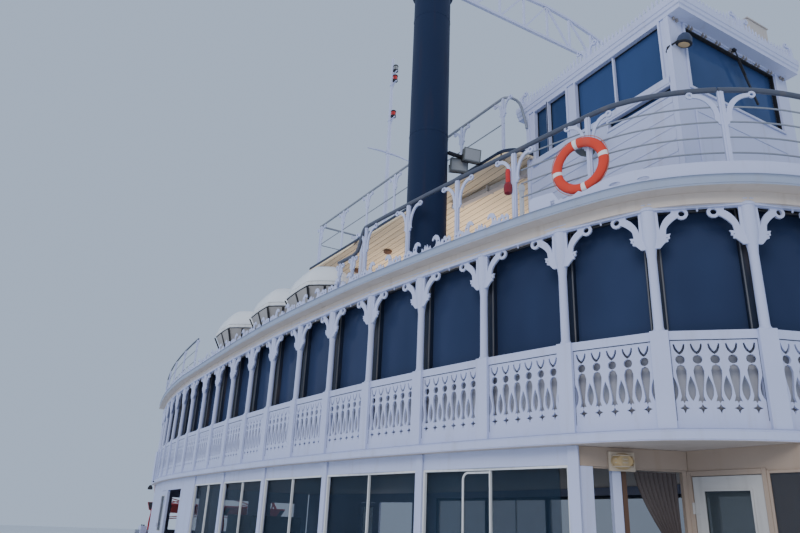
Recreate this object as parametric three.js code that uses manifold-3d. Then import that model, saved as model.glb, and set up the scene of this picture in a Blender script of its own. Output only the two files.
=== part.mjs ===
// Sternwheel excursion boat: flat-bottomed hull, two glazed saloon decks with a turned colonnade,
// an upper deck with canopy, pilothouse and twin stacks, and a paddle wheel behind the transom.
// Millimetres. X forward, Y to port, Z up. The origin is under the middle of the boat on its flat bottom.

import * as THREE from 'three';
import { ConvexGeometry } from 'three/addons/geometries/ConvexGeometry.js';
import { mergeVertices } from 'three/addons/utils/BufferGeometryUtils.js';
import Module from 'manifold-3d';

const wasm = await Module();
wasm.setup();

// Heights
const MAIN_DECK = 2100;
const DECK_2 = 4600;
const DECK_3 = 7380;
const DECK_2_UNDER = DECK_2 - 120;
const DECK_3_UNDER = DECK_3 - 130;
const CANOPY_UNDER = 9550;
const CANOPY_TOP = CANOPY_UNDER + 90;
const PILOT_WALL_TOP = 10450;
const PILOT_ROOF_TOP = 10700;
const STACK_TOP = 14300;
const MAST_TOP = 17400;

// Lengths from the middle of the boat
const BOW_TIP = 15100;
const TRANSOM = -10350;
const HOUSE_AFT = -10150;
const LOBBY_FRONT = 12900;
const LOBBY_HALF_WIDTH = 1380;
const PILOT_FRONT = 11870;
const PILOT_AFT = 8800;
const PILOT_HALF_WIDTH = 1370;
const CANOPY_FRONT = 8940;
const CANOPY_AFT = 1300;
const CANOPY_AFT_HALF_WIDTH = 2300;
const CANOPY_FRONT_HALF_WIDTH = 1876;
const STACK_X = 7970;
const STACK_Y = 2900;
const STACK_RADIUS = 340;
const MAST_X = 930;

// Paddle wheel
const WHEEL_RADIUS = 2200;
const WHEEL_X = -12900;
const WHEEL_Z = 2800;
const WHEEL_LENGTH = 4700;
const ARM_COUNT = 12;
const SHAFT_RADIUS = 110;
const BEAM_Y = 2750;

// Sections
const FIT_GAP = 0.3;
const RUN_GAP = 0.1;
const WALL = 70;
const GLASS = 20;
const COLUMN = 110;
const SALOON_RECESS = 100;
const HOUSE_RECESS = 60;
const DECK_2_OVERHANG = 80;
const DECK_3_OVERHANG = 235;
const GUARD = 150;

// Posts of the colonnade from the bow to the stern: station x, half breadth y
const POSTS = [
  [13060, 550], [12670, 1530], [11930, 2290], [10900, 2690], [9670, 2980], [8420, 3210], [7170, 3400],
  [5920, 3530], [4670, 3640], [3410, 3720], [2140, 3760], [870, 3790], [-380, 3800], [-1650, 3800],
  [-2910, 3800], [-4130, 3760], [-5350, 3690], [-6570, 3590], [-7780, 3460], [-8990, 3290], [-10200, 3100],
];
const CORNER = 3;
const STERN = POSTS.length - 1;

// Guard edge of the main deck forward of the corner post: station x, half breadth y
const FOREDECK = [[BOW_TIP, 380], [14650, 1150], [13800, 1950], [12600, 2560], [11400, 2850]];

// Hull sections: station x, half breadth of the bottom, half breadth at the deck, height of the bottom
const HULL_SECTIONS = [
  [TRANSOM, 2950, 3150, 1400], [-6500, 3300, 3560, 0], [-1000, 3600, 3780, 0], [6000, 3350, 3500, 0],
  [9500, 2700, 3000, 0], [12300, 1500, 2250, 250], [14100, 500, 1250, 1050], [14900, 120, 420, 1750],
];

const paint = (color, roughness, metalness = 0) =>
  new THREE.MeshStandardMaterial({ color, roughness, metalness });
const MATERIALS = {
  white: paint(0xe9ebf0, 0.45),
  cream: paint(0xe6dcc4, 0.55),
  deck: paint(0x9aa3ad, 0.7),
  hull: paint(0x2b3440, 0.5),
  navy: paint(0x1b2433, 0.4),
  glass: paint(0x1c3a66, 0.08),
  plank: paint(0xc89b6c, 0.6),
  red: paint(0xa3262a, 0.5),
  steel: paint(0x8b9096, 0.4, 0.8),
  dark: paint(0x23262b, 0.5, 0.3),
  raft: paint(0xdadde2, 0.4),
  buoy: paint(0xd9472b, 0.6),
  lamp: paint(0xb9b4a0, 0.5),
};

const boat = new THREE.Group();

// Solids

function solid(geometry) {
  geometry.deleteAttribute('normal');
  geometry.deleteAttribute('uv');
  const merged = mergeVertices(geometry, 0.01);
  return new wasm.Manifold(new wasm.Mesh({
    numProp: 3,
    vertProperties: new Float32Array(merged.attributes.position.array),
    triVerts: new Uint32Array(merged.index.array),
  }));
}

function geometryOf(manifold) {
  const mesh = manifold.getMesh();
  const geometry = new THREE.BufferGeometry();
  geometry.setAttribute('position', new THREE.BufferAttribute(mesh.vertProperties, 3));
  geometry.setIndex(new THREE.BufferAttribute(mesh.triVerts, 1));
  geometry.computeVertexNormals();
  return geometry;
}

const join = (solids) => solids.reduce((whole, piece) => whole.add(piece));
const cut = (body, tools) => tools.reduce((whole, piece) => whole.subtract(piece), body);

function add(name, manifold, material, x = 0, y = 0, z = 0) {
  const mesh = new THREE.Mesh(geometryOf(manifold), MATERIALS[material]);
  mesh.name = name;
  mesh.position.set(x, y, z);
  boat.add(mesh);
}

// Upright prism over a plan outline
function prism(outline, z0, z1) {
  const shape = new THREE.Shape(outline.map(([x, y]) => new THREE.Vector2(x, y)));
  const geometry = new THREE.ExtrudeGeometry(shape, { depth: z1 - z0, bevelEnabled: false });
  return solid(geometry.translate(0, 0, z0));
}

function block(x0, x1, y0, y1, z0, z1) {
  const geometry = new THREE.BoxGeometry(x1 - x0, y1 - y0, z1 - z0);
  return solid(geometry.translate((x0 + x1) / 2, (y0 + y1) / 2, (z0 + z1) / 2));
}

// Box of a given length and thickness, turned in plan and centred on a point
function plank(x, y, yaw, length, thickness, z0, z1) {
  const geometry = new THREE.BoxGeometry(length, thickness, z1 - z0);
  return solid(geometry.rotateZ(yaw).translate(x, y, (z0 + z1) / 2));
}

// Straight bar between two points: round with sides, or square with 4 sides
function bar(from, to, width, sides = 4) {
  const start = new THREE.Vector3(...from);
  const along = new THREE.Vector3(...to).sub(start);
  const radius = sides === 4 ? width / Math.SQRT2 : width / 2;
  const geometry = new THREE.CylinderGeometry(radius, radius, along.length(), sides);
  geometry.rotateY(Math.PI / sides);
  const turn = new THREE.Quaternion().setFromUnitVectors(
    new THREE.Vector3(0, 1, 0), along.clone().normalize());
  geometry.applyQuaternion(turn);
  const middle = start.addScaledVector(along, 0.5);
  return solid(geometry.translate(middle.x, middle.y, middle.z));
}

// Profile of radius and height pairs turned about an upright axis
function turned(profile, sides, x, y, z = 0) {
  const points = profile.map(([radius, height]) => new THREE.Vector2(radius, height));
  const geometry = new THREE.LatheGeometry(points, sides);
  return solid(geometry.rotateX(Math.PI / 2).translate(x, y, z));
}

// Round bar or ring across the boat about the Y axis
const ROUND = 12;
function across(radius, inner, y0, y1, sides = ROUND) {
  const outer = bar([0, y0, 0], [0, y1, 0], 2 * radius, sides);
  return inner > 0 ? outer.subtract(bar([0, y0 - 5, 0], [0, y1 + 5, 0], 2 * inner, sides)) : outer;
}

// Running bore for a round bar across the boat, turned half a facet against it
const boreAcross = (radius, y0, y1) => across((radius + RUN_GAP) / Math.cos(Math.PI / ROUND), 0, y0, y1)
  .rotate([0, 180 / ROUND, 0]);

const mirrored = (manifold) => manifold.mirror([0, 1, 0]);

// Deck edge: the posts as one loop, clockwise from above, with mitred offsets

const LOOP = [
  ...POSTS.map(([x, y]) => [x, -y]),
  ...POSTS.map(([x, y]) => [x, y]).reverse(),
];
const LOOP_SIZE = LOOP.length;
const loopAt = (index) => LOOP[(index + LOOP_SIZE) % LOOP_SIZE];
const towards = ([x0, y0], [x1, y1]) => {
  const length = Math.hypot(x1 - x0, y1 - y0);
  return [(x1 - x0) / length, (y1 - y0) / length];
};

// Point at a post moved out square to both of the bays that meet there
function edge(index, distance) {
  const here = loopAt(index);
  const [ax, ay] = towards(loopAt(index - 1), here);
  const [bx, by] = towards(here, loopAt(index + 1));
  const scale = distance / (1 + ax * bx + ay * by);
  return [here[0] - (ay + by) * scale, here[1] + (ax + bx) * scale];
}

const indices = (first, last) => Array.from({ length: last - first + 1 }, (_, i) => first + i);
const plate = (distance, z0, z1) => prism(indices(0, LOOP_SIZE - 1).map((i) => edge(i, distance)), z0, z1);

// Point part of the way along a bay: 4.25 is a quarter of the way from post 4 to post 5
function along(station, distance) {
  const index = Math.floor(station);
  const [x0, y0] = edge(index, distance);
  const [x1, y1] = edge(index + 1, distance);
  const part = station - index;
  return [x0 + (x1 - x0) * part, y0 + (y1 - y0) * part];
}

// Stations of a run along the edge: its ends and every post between them
const stopsOf = (first, last) => [first, ...indices(Math.floor(first) + 1, Math.ceil(last) - 1), last];

// Upright band between two offsets, from one station to another, its ends a fitting gap short
function band(first, last, outer, inner, z0, z1) {
  const line = (distance) => {
    const points = stopsOf(first, last).map((t) => along(t, distance));
    const [sx, sy] = towards(points[0], points[1]);
    const [ex, ey] = towards(points.at(-1), points.at(-2));
    points[0] = [points[0][0] + sx * FIT_GAP, points[0][1] + sy * FIT_GAP];
    points[points.length - 1] = [points.at(-1)[0] + ex * FIT_GAP, points.at(-1)[1] + ey * FIT_GAP];
    return points;
  };
  return prism([...line(outer), ...line(inner).reverse()], z0, z1);
}

// Panel centred in a bay between two posts
function bayPanel(index, distance, inset, thickness, z0, z1, span = 1) {
  const a = edge(index, distance);
  const b = edge(index + span, distance);
  const [dx, dy] = towards(a, b);
  const length = Math.hypot(b[0] - a[0], b[1] - a[1]) - 2 * inset;
  return plank((a[0] + b[0]) / 2, (a[1] + b[1]) / 2, Math.atan2(dy, dx), length, thickness, z0, z1);
}

// Round or square post at a corner of the loop
function postAt(index, distance, width, z0, z1, sides = 4) {
  const [x, y] = edge(index, distance);
  const [dx, dy] = towards(loopAt(index - 1), loopAt(index + 1));
  if (sides === 4) return plank(x, y, Math.atan2(dy, dx), width, width, z0, z1);
  return bar([x, y, z0], [x, y, z1], width, sides);
}

const BOW_FIRST = -1 - CORNER;

// Hull and main deck

function hull() {
  const top = MAIN_DECK - 100 - FIT_GAP;
  const positions = [];
  const index = [];
  for (const [x, bottom, deck, z] of HULL_SECTIONS) {
    positions.push(x, -bottom, z, x, bottom, z, x, deck, top, x, -deck, top);
  }
  const rings = HULL_SECTIONS.length;
  for (let s = 0; s < rings - 1; s += 1) {
    for (let k = 0; k < 4; k += 1) {
      const a = 4 * s + k;
      const b = 4 * s + ((k + 1) % 4);
      index.push(a, b, a + 4, b, b + 4, a + 4);
    }
  }
  const last = 4 * (rings - 1);
  index.push(0, 2, 1, 0, 3, 2, last, last + 1, last + 2, last, last + 2, last + 3);
  const geometry = new THREE.BufferGeometry();
  geometry.setAttribute('position', new THREE.Float32BufferAttribute(positions, 3));
  geometry.setIndex(index);
  return solid(geometry);
}

const BITTS = { x: 13300, y: 1250, spread: 220, height: 420 };
function bitts(x, y, z) {
  const posts = [-BITTS.spread, BITTS.spread].map((offset) =>
    bar([x + offset, y, z - 5], [x + offset, y, z + BITTS.height], 160, 12));
  return join([block(x - 360, x + 360, y - 140, y + 140, z - 5, z + 30), ...posts]);
}

function mainDeck() {
  const side = indices(CORNER, STERN).map((i) => edge(i, GUARD));
  const starboard = [...FOREDECK.map(([x, y]) => [x, -y]), ...side];
  const port = starboard.map(([x, y]) => [x, -y]).reverse();
  return join([prism([...starboard, ...port], MAIN_DECK - 100, MAIN_DECK),
    bitts(BITTS.x, -BITTS.y, MAIN_DECK), bitts(BITTS.x, BITTS.y, MAIN_DECK)]);
}

// Flat undersides of the rudder bosses below the raked stern
const RUDDER_BOSS = 840;
const bosses = [-1500, 1500].map((y) => bar([-9350, y, RUDDER_BOSS], [-9350, y, 1500], 240, 12));

add('hull', join([hull(), ...bosses]), 'hull');
add('main_deck', mainDeck(), 'deck');

// Main house: long side windows between every second post, an entrance and a hinged door aft

const HOUSE_TOP = DECK_2_UNDER - FIT_GAP;
const HOUSE_BASE = MAIN_DECK + FIT_GAP;
const WINDOW_1 = { sill: 2900, head: 4270 };
const WINDOW_PAIRS = [3, 5, 7, 9, 11];
const ENTRANCE = { bay: 14, span: 2, jamb: 190 };
const DOOR_BAY = 16;
const DOOR_HEAD = 4200;
const DOOR_THICKNESS = 45;
const DOOR_CLEARANCE = 8;
const DOOR_JAMB = 120;
const wallMiddle = -HOUSE_RECESS - WALL / 2;

function houseSide() {
  const windows = WINDOW_PAIRS.map((i) =>
    bayPanel(i, wallMiddle, 70, 3 * WALL, WINDOW_1.sill, WINDOW_1.head, 2));
  const entrance = bayPanel(ENTRANCE.bay, wallMiddle, ENTRANCE.jamb, 3 * WALL, MAIN_DECK - 10, DOOR_HEAD,
    ENTRANCE.span);
  const doorway = bayPanel(DOOR_BAY, wallMiddle, DOOR_JAMB, 3 * WALL, MAIN_DECK - 10, DOOR_HEAD);
  const wall = band(CORNER, STERN, -HOUSE_RECESS, -HOUSE_RECESS - WALL, HOUSE_BASE, HOUSE_TOP);
  return cut(wall, [...windows, entrance, doorway]);
}

// One run of glass against the inside of a wall, lapping its windows all round
const LAP = 40;
const glazing = (first, last, recess, window) => band(first, last, -recess - WALL - FIT_GAP,
  -recess - WALL - FIT_GAP - GLASS, window.sill - LAP, window.head + LAP);

const houseStarboard = houseSide();
add('house_wall_starboard', houseStarboard, 'white');
add('house_wall_port', mirrored(houseStarboard), 'white');
const sideHouseGlass = glazing(CORNER + 0.2, WINDOW_PAIRS.at(-1) + 2, HOUSE_RECESS, WINDOW_1);
add('house_glass_starboard', sideHouseGlass, 'glass');
add('house_glass_port', mirrored(sideHouseGlass), 'glass');

// House front: wings slanting forward to the lobby, which stands between the foredeck doors
const LOBBY_DOOR = { aft: 11500, fore: 12350 };
const LOBBY_AFT = 11400;
const LOBBY_WINDOW = { half: 900, sill: 2900, head: 4250 };
const WING_INNER = [11474, -1400];
// Openings in a wing on both sides of a post, as distances from its outer end
const WING_OPENINGS = [[210, 430], [525, 1250]];
const WING_OPENING = { sill: MAIN_DECK + 60, head: 4245 };

function wing() {
  const [x, y] = edge(CORNER, -HOUSE_RECESS);
  const [dx, dy] = towards([x, y], WING_INNER);
  const [endX, endY] = edge(CORNER, -HOUSE_RECESS - WALL);
  const [mitreX, mitreY] = towards([x, y], [endX, endY]);
  // Where the inner face meets the line of the side wall's end
  const reach = WALL / (mitreX * -dy + mitreY * dx);
  const from = [x + 2 * FIT_GAP, y];
  const inner = [WING_INNER[0] - dy * WALL, WING_INNER[1] + dx * WALL];
  const wall = prism([from, WING_INNER, inner, [from[0] + mitreX * reach, y + mitreY * reach]],
    HOUSE_BASE, HOUSE_TOP);
  const openings = WING_OPENINGS.map(([outer, far]) => prism([[outer, -WALL], [far, -WALL], [far, 2 * WALL],
    [outer, 2 * WALL]], WING_OPENING.sill, WING_OPENING.head)
    .rotate([0, 0, THREE.MathUtils.radToDeg(Math.atan2(dy, dx))]).translate([x, y, 0]));
  return cut(wall, openings);
}

function houseFront() {
  const side = block(LOBBY_AFT, LOBBY_FRONT, -LOBBY_HALF_WIDTH - WALL, -LOBBY_HALF_WIDTH,
    HOUSE_BASE, HOUSE_TOP);
  const doorway = block(LOBBY_DOOR.aft, LOBBY_DOOR.fore, -LOBBY_HALF_WIDTH - 2 * WALL,
    -LOBBY_HALF_WIDTH + WALL, MAIN_DECK - 10, DOOR_HEAD);
  const front = block(LOBBY_FRONT - WALL, LOBBY_FRONT, -LOBBY_HALF_WIDTH - WALL, LOBBY_HALF_WIDTH + WALL,
    HOUSE_BASE, HOUSE_TOP);
  const window = block(LOBBY_FRONT - 2 * WALL, LOBBY_FRONT + WALL, -LOBBY_WINDOW.half, LOBBY_WINDOW.half,
    LOBBY_WINDOW.sill, LOBBY_WINDOW.head);
  const starboard = cut(join([wing(), side]), [doorway]);
  return join([cut(front, [window]), starboard, mirrored(starboard)]);
}

add('house_front', houseFront(), 'white');

const AFT_WINDOWS = { y: [-1900, 0, 1900], half: 500, sill: 3000, head: 4100 };
function houseAft() {
  const half = 3100 - HOUSE_RECESS - WALL - 20;
  const wall = block(HOUSE_AFT, HOUSE_AFT + WALL, -half, half, HOUSE_BASE, HOUSE_TOP);
  return cut(wall, AFT_WINDOWS.y.map((y) => block(HOUSE_AFT - WALL, HOUSE_AFT + 2 * WALL,
    y - AFT_WINDOWS.half, y + AFT_WINDOWS.half, AFT_WINDOWS.sill, AFT_WINDOWS.head)));
}
add('house_wall_aft', houseAft(), 'white');
const ENGINE = { x: -6800, length: 2600, width: 1700, height: 1500 };
add('engine_block', block(ENGINE.x - ENGINE.length / 2, ENGINE.x + ENGINE.length / 2, -ENGINE.width / 2,
  ENGINE.width / 2, HOUSE_BASE, MAIN_DECK + ENGINE.height), 'dark');

// Saloon deck

add('deck_2', plate(DECK_2_OVERHANG, DECK_2_UNDER, DECK_2), 'cream');

const COLUMN_BASE = DECK_2 + FIT_GAP;
const BALUSTRADE_TOP = DECK_2 + 1050;
const HEADER_UNDER = DECK_3_UNDER - 140;
const COLUMN_TOP = DECK_3_UNDER - FIT_GAP;

// Header beam and balustrade of a run of bays; where it meets a run with its own corner posts,
// it stops short of their columns and pilasters
function runBetween(first, last, meetsCorners) {
  const header = band(first, last, 70, -70, HEADER_UNDER, COLUMN_TOP);
  const panel = band(first, last, 25, -25, COLUMN_BASE, BALUSTRADE_TOP - FIT_GAP);
  const keepOut = (radius) => [first, last].map((i) => {
    const [x, y] = edge(i, 0);
    return bar([x, y, DECK_2 - 10], [x, y, DECK_3], 2 * radius, 8);
  });
  if (!meetsCorners) return [header, panel];
  return [cut(header, keepOut(COLUMN / 2 + 6)), cut(panel, keepOut(110))];
}
const postsAt = (list, pilaster) => list.flatMap((i) => [
  postAt(i, 0, pilaster, COLUMN_BASE, BALUSTRADE_TOP),
  postAt(i, 0, COLUMN, BALUSTRADE_TOP - 20, HEADER_UNDER + 40, 6),
]);
// The long side runs are made in two lengths that butt at a joint
const JOINT = { colonnade: 4760, glass: 4700 };
const BEYOND_GUARDS = 4200;
const DECK_BOX = [-BEYOND_GUARDS, BEYOND_GUARDS, DECK_2_UNDER, DECK_3];
const foreLength = (run, x) => cut(run, [block(TRANSOM, x + FIT_GAP, ...DECK_BOX)]);
const aftLength = (run, x) => cut(run, [block(x, BOW_TIP, ...DECK_BOX)]);
function addLengths(name, run, x, material) {
  for (const [part, piece] of [['fore', foreLength(run, x)], ['aft', aftLength(run, x)]]) {
    add(`${name}_${part}_starboard`, piece, material);
    add(`${name}_${part}_port`, mirrored(piece), material);
  }
}
addLengths('colonnade', join([...runBetween(CORNER, STERN, false), ...postsAt(indices(CORNER, STERN), 140)]),
  JOINT.colonnade, 'white');
add('colonnade_bow', join([...runBetween(BOW_FIRST, CORNER, true),
  ...postsAt(indices(BOW_FIRST + 1, CORNER - 1), 190)]), 'white');

const STERN_X = POSTS[STERN][0];
const STERN_POSTS = [-1030, 1030];
add('colonnade_stern', join([...runBetween(STERN, STERN + 1, true),
  ...STERN_POSTS.flatMap((y) => [
    block(STERN_X - 70, STERN_X + 70, y - 70, y + 70, COLUMN_BASE, BALUSTRADE_TOP),
    bar([STERN_X, y, BALUSTRADE_TOP - 20], [STERN_X, y, HEADER_UNDER + 40], COLUMN, 6),
  ])]), 'white');

const WINDOW_2 = { sill: 5560, head: 7120 };
const saloonMiddle = -SALOON_RECESS - WALL / 2;
const SALOON_MULLION = 90;

function saloonWall(first, last) {
  const wall = band(first, last, -SALOON_RECESS, -SALOON_RECESS - WALL, COLUMN_BASE, COLUMN_TOP);
  return cut(wall, indices(first, last - 1).map((i) =>
    bayPanel(i, saloonMiddle, SALOON_MULLION, 3 * WALL, WINDOW_2.sill, WINDOW_2.head)));
}
const saloonSide = saloonWall(CORNER, STERN);
add('saloon_wall_starboard', saloonSide, 'white');
add('saloon_wall_port', mirrored(saloonSide), 'white');
add('saloon_wall_bow', saloonWall(BOW_FIRST, CORNER), 'white');
const STERN_WINDOWS = { y: [-1950, 0, 1950], half: 750 };
const sternWall = cut(band(STERN, STERN + 1, -SALOON_RECESS, -SALOON_RECESS - WALL, COLUMN_BASE, COLUMN_TOP),
  STERN_WINDOWS.y.map((y) => block(STERN_X - 200, STERN_X + 300, y - STERN_WINDOWS.half,
    y + STERN_WINDOWS.half, WINDOW_2.sill, WINDOW_2.head)));
add('saloon_wall_stern', sternWall, 'white');
addLengths('saloon_glass', glazing(CORNER + 0.03, STERN - 0.2, SALOON_RECESS, WINDOW_2), JOINT.glass, 'glass');
add('saloon_glass_bow', glazing(BOW_FIRST + 0.03, CORNER - 0.03, SALOON_RECESS, WINDOW_2), 'glass');

// Upper deck

add('deck_3', plate(DECK_3_OVERHANG, DECK_3_UNDER, DECK_3), 'deck');

// Rails of the upper deck: a top tube that rises towards the bow, stanchions, and rods where there are any

const RAIL_LINE = DECK_3_OVERHANG - 135;
const STANCHION = 60;
const TOP_TUBE = 64;
const ROD = 18;
const ROD_HEIGHTS = [350, 557, 763, 970];
const AFT_ROD_HEIGHTS = [330, 660];
const AFT_RAIL_HEIGHT = 1000;
// Middle of the fore rail's tube above the deck, by station
const TUBE_HEIGHTS = [[2.3, 1210], [3.41, 1095], [4.34, 1065], [5.22, 1040], [6.17, 1020]];
const SPLIT = 1.14;
const SPLIT_END = SPLIT + 0.035;

function tubeHeight(station) {
  const next = TUBE_HEIGHTS.findIndex(([t]) => t >= station);
  if (next <= 0) return next < 0 ? TUBE_HEIGHTS.at(-1)[1] : TUBE_HEIGHTS[0][1];
  const [[t0, z0], [t1, z1]] = [TUBE_HEIGHTS[next - 1], TUBE_HEIGHTS[next]];
  return z0 + ((z1 - z0) * (station - t0)) / (t1 - t0);
}

const railBand = (first, last, width, z) =>
  band(first, last, RAIL_LINE + width / 2, RAIL_LINE - width / 2, z - width / 2, z + width / 2);

function stanchion(station, height) {
  const [x, y] = along(station, RAIL_LINE);
  const [dx, dy] = towards(along(station - 0.2, RAIL_LINE), along(station + 0.2, RAIL_LINE));
  return plank(x, y, Math.atan2(dy, dx), STANCHION, STANCHION, DECK_3 + FIT_GAP, DECK_3 + height);
}

function levelRail(first, last, stations, height, rods) {
  return join([railBand(first, last, TOP_TUBE, DECK_3 + height - TOP_TUBE / 2),
    ...rods.map((rod) => railBand(first, last, ROD, DECK_3 + rod)),
    ...stations.map((t) => stanchion(t, height - 20))]);
}

// Tube through points given by station and height above the deck
function slopingTube(points) {
  const at = ([t, height]) => [...along(t, RAIL_LINE), DECK_3 + height];
  return join(points.slice(1).map((point, i) => bar(at(points[i]), at(point), TOP_TUBE, 8)));
}

const FORE_STATIONS = [2.56, 3.41, 4.34, 5.22, 6.14];
const FORE_ROD_END = 3.41;
const LEVEL_END = 2.3;
const TUBE_STATIONS = [LEVEL_END - 0.01, 3, 3.41, 4, 4.34, 5, 5.22, 6, 6.17];
// The tube's end, bent down behind the last stanchion to a low rail on a short post
const LOW_END = [[6.17, 1020], [6.25, 900], [6.31, 700], [6.42, 600], [6.85, 590]];
const LOW_POST = { station: 6.8, height: 590 };
const AFT_STATIONS = [14.05, 15.5, 17, 18.5, 19.95];
const BUOY = { station: 2.63, radius: 320, tube: 65, z: DECK_3 + 480 };
function lifebuoy() {
  const [x, y] = along(BUOY.station, RAIL_LINE + STANCHION / 2 + BUOY.tube - 15);
  const [dx, dy] = towards(along(BUOY.station - 0.2, RAIL_LINE), along(BUOY.station + 0.2, RAIL_LINE));
  const ring = new THREE.TorusGeometry(BUOY.radius, BUOY.tube, 6, 16);
  return solid(ring.rotateX(Math.PI / 2).rotateZ(Math.atan2(dy, dx)).translate(x, y, BUOY.z));
}
const foreRail = join([
  railBand(SPLIT_END, LEVEL_END, TOP_TUBE, DECK_3 + tubeHeight(LEVEL_END)),
  slopingTube(TUBE_STATIONS.map((t) => [t, tubeHeight(t)])),
  slopingTube(LOW_END),
  ...ROD_HEIGHTS.map((height) => railBand(SPLIT_END, FORE_ROD_END, ROD, DECK_3 + height)),
  ...FORE_STATIONS.map((t) => stanchion(t, tubeHeight(t))),
  stanchion(LOW_POST.station, LOW_POST.height),
  lifebuoy(),
]);
const aftRail = levelRail(14.02, 19.97, AFT_STATIONS, AFT_RAIL_HEIGHT, AFT_ROD_HEIGHTS);
add('rail_fore_starboard', foreRail, 'white');
add('rail_fore_port', mirrored(foreRail), 'white');
add('rail_bow', levelRail(-1 - SPLIT_END, SPLIT_END, [-1 - SPLIT, -0.5, SPLIT],
  TUBE_HEIGHTS[0][1] + TOP_TUBE / 2, ROD_HEIGHTS), 'white');
add('rail_aft_starboard', aftRail, 'white');
add('rail_aft_port', mirrored(aftRail), 'white');
add('rail_stern', levelRail(STERN + 0.03, STERN + 0.97,
  [0.04, 0.27, 0.5, 0.73, 0.96].map((part) => STERN + part), AFT_RAIL_HEIGHT, AFT_ROD_HEIGHTS), 'white');

// Stacks, open at the top, with a flared crown, and the truss that steadies them

const STACK_WALL = 30;
const FLARE = 560;
const STACK_BAND = STACK_TOP - 1300;
const stackProfile = [
  [0, DECK_3 + FIT_GAP], [STACK_RADIUS, DECK_3 + FIT_GAP], [STACK_RADIUS, STACK_BAND],
  [STACK_RADIUS + 50, STACK_BAND + 20], [STACK_RADIUS + 50, STACK_BAND + 100], [STACK_RADIUS, STACK_BAND + 120],
  [STACK_RADIUS, STACK_TOP - 600],
  [STACK_RADIUS + 20, STACK_TOP - 450], [FLARE, STACK_TOP], [FLARE - STACK_WALL, STACK_TOP],
  [STACK_RADIUS - STACK_WALL, STACK_TOP - 450], [STACK_RADIUS - STACK_WALL, STACK_TOP - 2600],
  [0, STACK_TOP - 2600],
];
add('stack_starboard', turned(stackProfile, 20, STACK_X, -STACK_Y), 'navy');
add('stack_port', turned(stackProfile, 20, STACK_X, STACK_Y), 'navy');

const TRUSS = { low: 13350, ends: 13600, rise: 600, bays: 8, chord: 60, web: 40 };
function truss() {
  const reach = STACK_Y - STACK_RADIUS - 4;
  const knots = indices(0, TRUSS.bays).map((i) => -reach + (2 * reach * i) / TRUSS.bays);
  const topAt = (y) => TRUSS.ends + TRUSS.rise * (1 - (y / reach) ** 2);
  const pieces = [bar([STACK_X, -reach, TRUSS.low], [STACK_X, reach, TRUSS.low], TRUSS.chord)];
  knots.slice(0, -1).forEach((y, i) => {
    const next = knots[i + 1];
    const rising = i < TRUSS.bays / 2;
    pieces.push(bar([STACK_X, y, topAt(y)], [STACK_X, next, topAt(next)], TRUSS.chord));
    pieces.push(bar([STACK_X, y, rising ? TRUSS.low : topAt(y)],
      [STACK_X, next, rising ? topAt(next) : TRUSS.low], TRUSS.web));
    if (i > 0) pieces.push(bar([STACK_X, y, TRUSS.low], [STACK_X, y, topAt(y)], TRUSS.web));
  });
  const lugs = [-1, 1].flatMap((side) => [TRUSS.low, TRUSS.ends].map((z) =>
    block(STACK_X - 60, STACK_X + 60, side * reach - 30, side * reach + 30, z - 70, z + 70)));
  const stacks = [-STACK_Y, STACK_Y].map((y) =>
    turned([[0, 0], [STACK_RADIUS + FIT_GAP, 0], [STACK_RADIUS + FIT_GAP, 20000], [0, 20000]], 20, STACK_X, y));
  return cut(join([...pieces, ...lugs]), stacks);
}
add('stack_truss', truss(), 'white');

// Canopy, narrower towards the pilothouse that carries its rounded front, with its posts and the railing
// on its roof

const CANOPY_POSTS = [1600, 3900, 6500];
const CANOPY_CORNER = 340;
const CANOPY_POST = 90;
const canopyHalf = (x) => CANOPY_AFT_HALF_WIDTH
  + ((CANOPY_FRONT_HALF_WIDTH - CANOPY_AFT_HALF_WIDTH) * (x - CANOPY_AFT)) / (CANOPY_FRONT - CANOPY_AFT);
const cornerX = CANOPY_FRONT - CANOPY_CORNER;
const cornerY = canopyHalf(cornerX) - CANOPY_CORNER;
const canopyCorner = [90, 75, 60, 45, 30, 15, 0].map((degrees) => {
  const turn = THREE.MathUtils.degToRad(degrees);
  return [cornerX + CANOPY_CORNER * Math.cos(turn), cornerY + CANOPY_CORNER * Math.sin(turn)];
});
const canopyPlan = prism([
  [CANOPY_AFT, -CANOPY_AFT_HALF_WIDTH], ...canopyCorner.map(([x, y]) => [x, -y]),
  ...canopyCorner.toReversed(), [CANOPY_AFT, CANOPY_AFT_HALF_WIDTH],
], CANOPY_UNDER, CANOPY_TOP);
const pilotNotch = block(PILOT_AFT - FIT_GAP, PILOT_FRONT, -PILOT_HALF_WIDTH - FIT_GAP,
  PILOT_HALF_WIDTH + FIT_GAP, CANOPY_UNDER - 100, CANOPY_TOP + 100);
const canopyPosts = CANOPY_POSTS.flatMap((x) => [-1, 1].map((side) => bar(
  [x, side * (canopyHalf(x) - 75), DECK_3 + FIT_GAP],
  [x, side * (canopyHalf(x) - 75), CANOPY_UNDER + 10], CANOPY_POST)));
add('canopy', join([cut(canopyPlan, [pilotNotch]), ...canopyPosts]), 'plank');

const ROOF_RAIL = { aft: 1650, fore: 8750, inset: 50, height: 1090, rod: 540, tube: 50, post: 50, posts: 7 };
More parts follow.
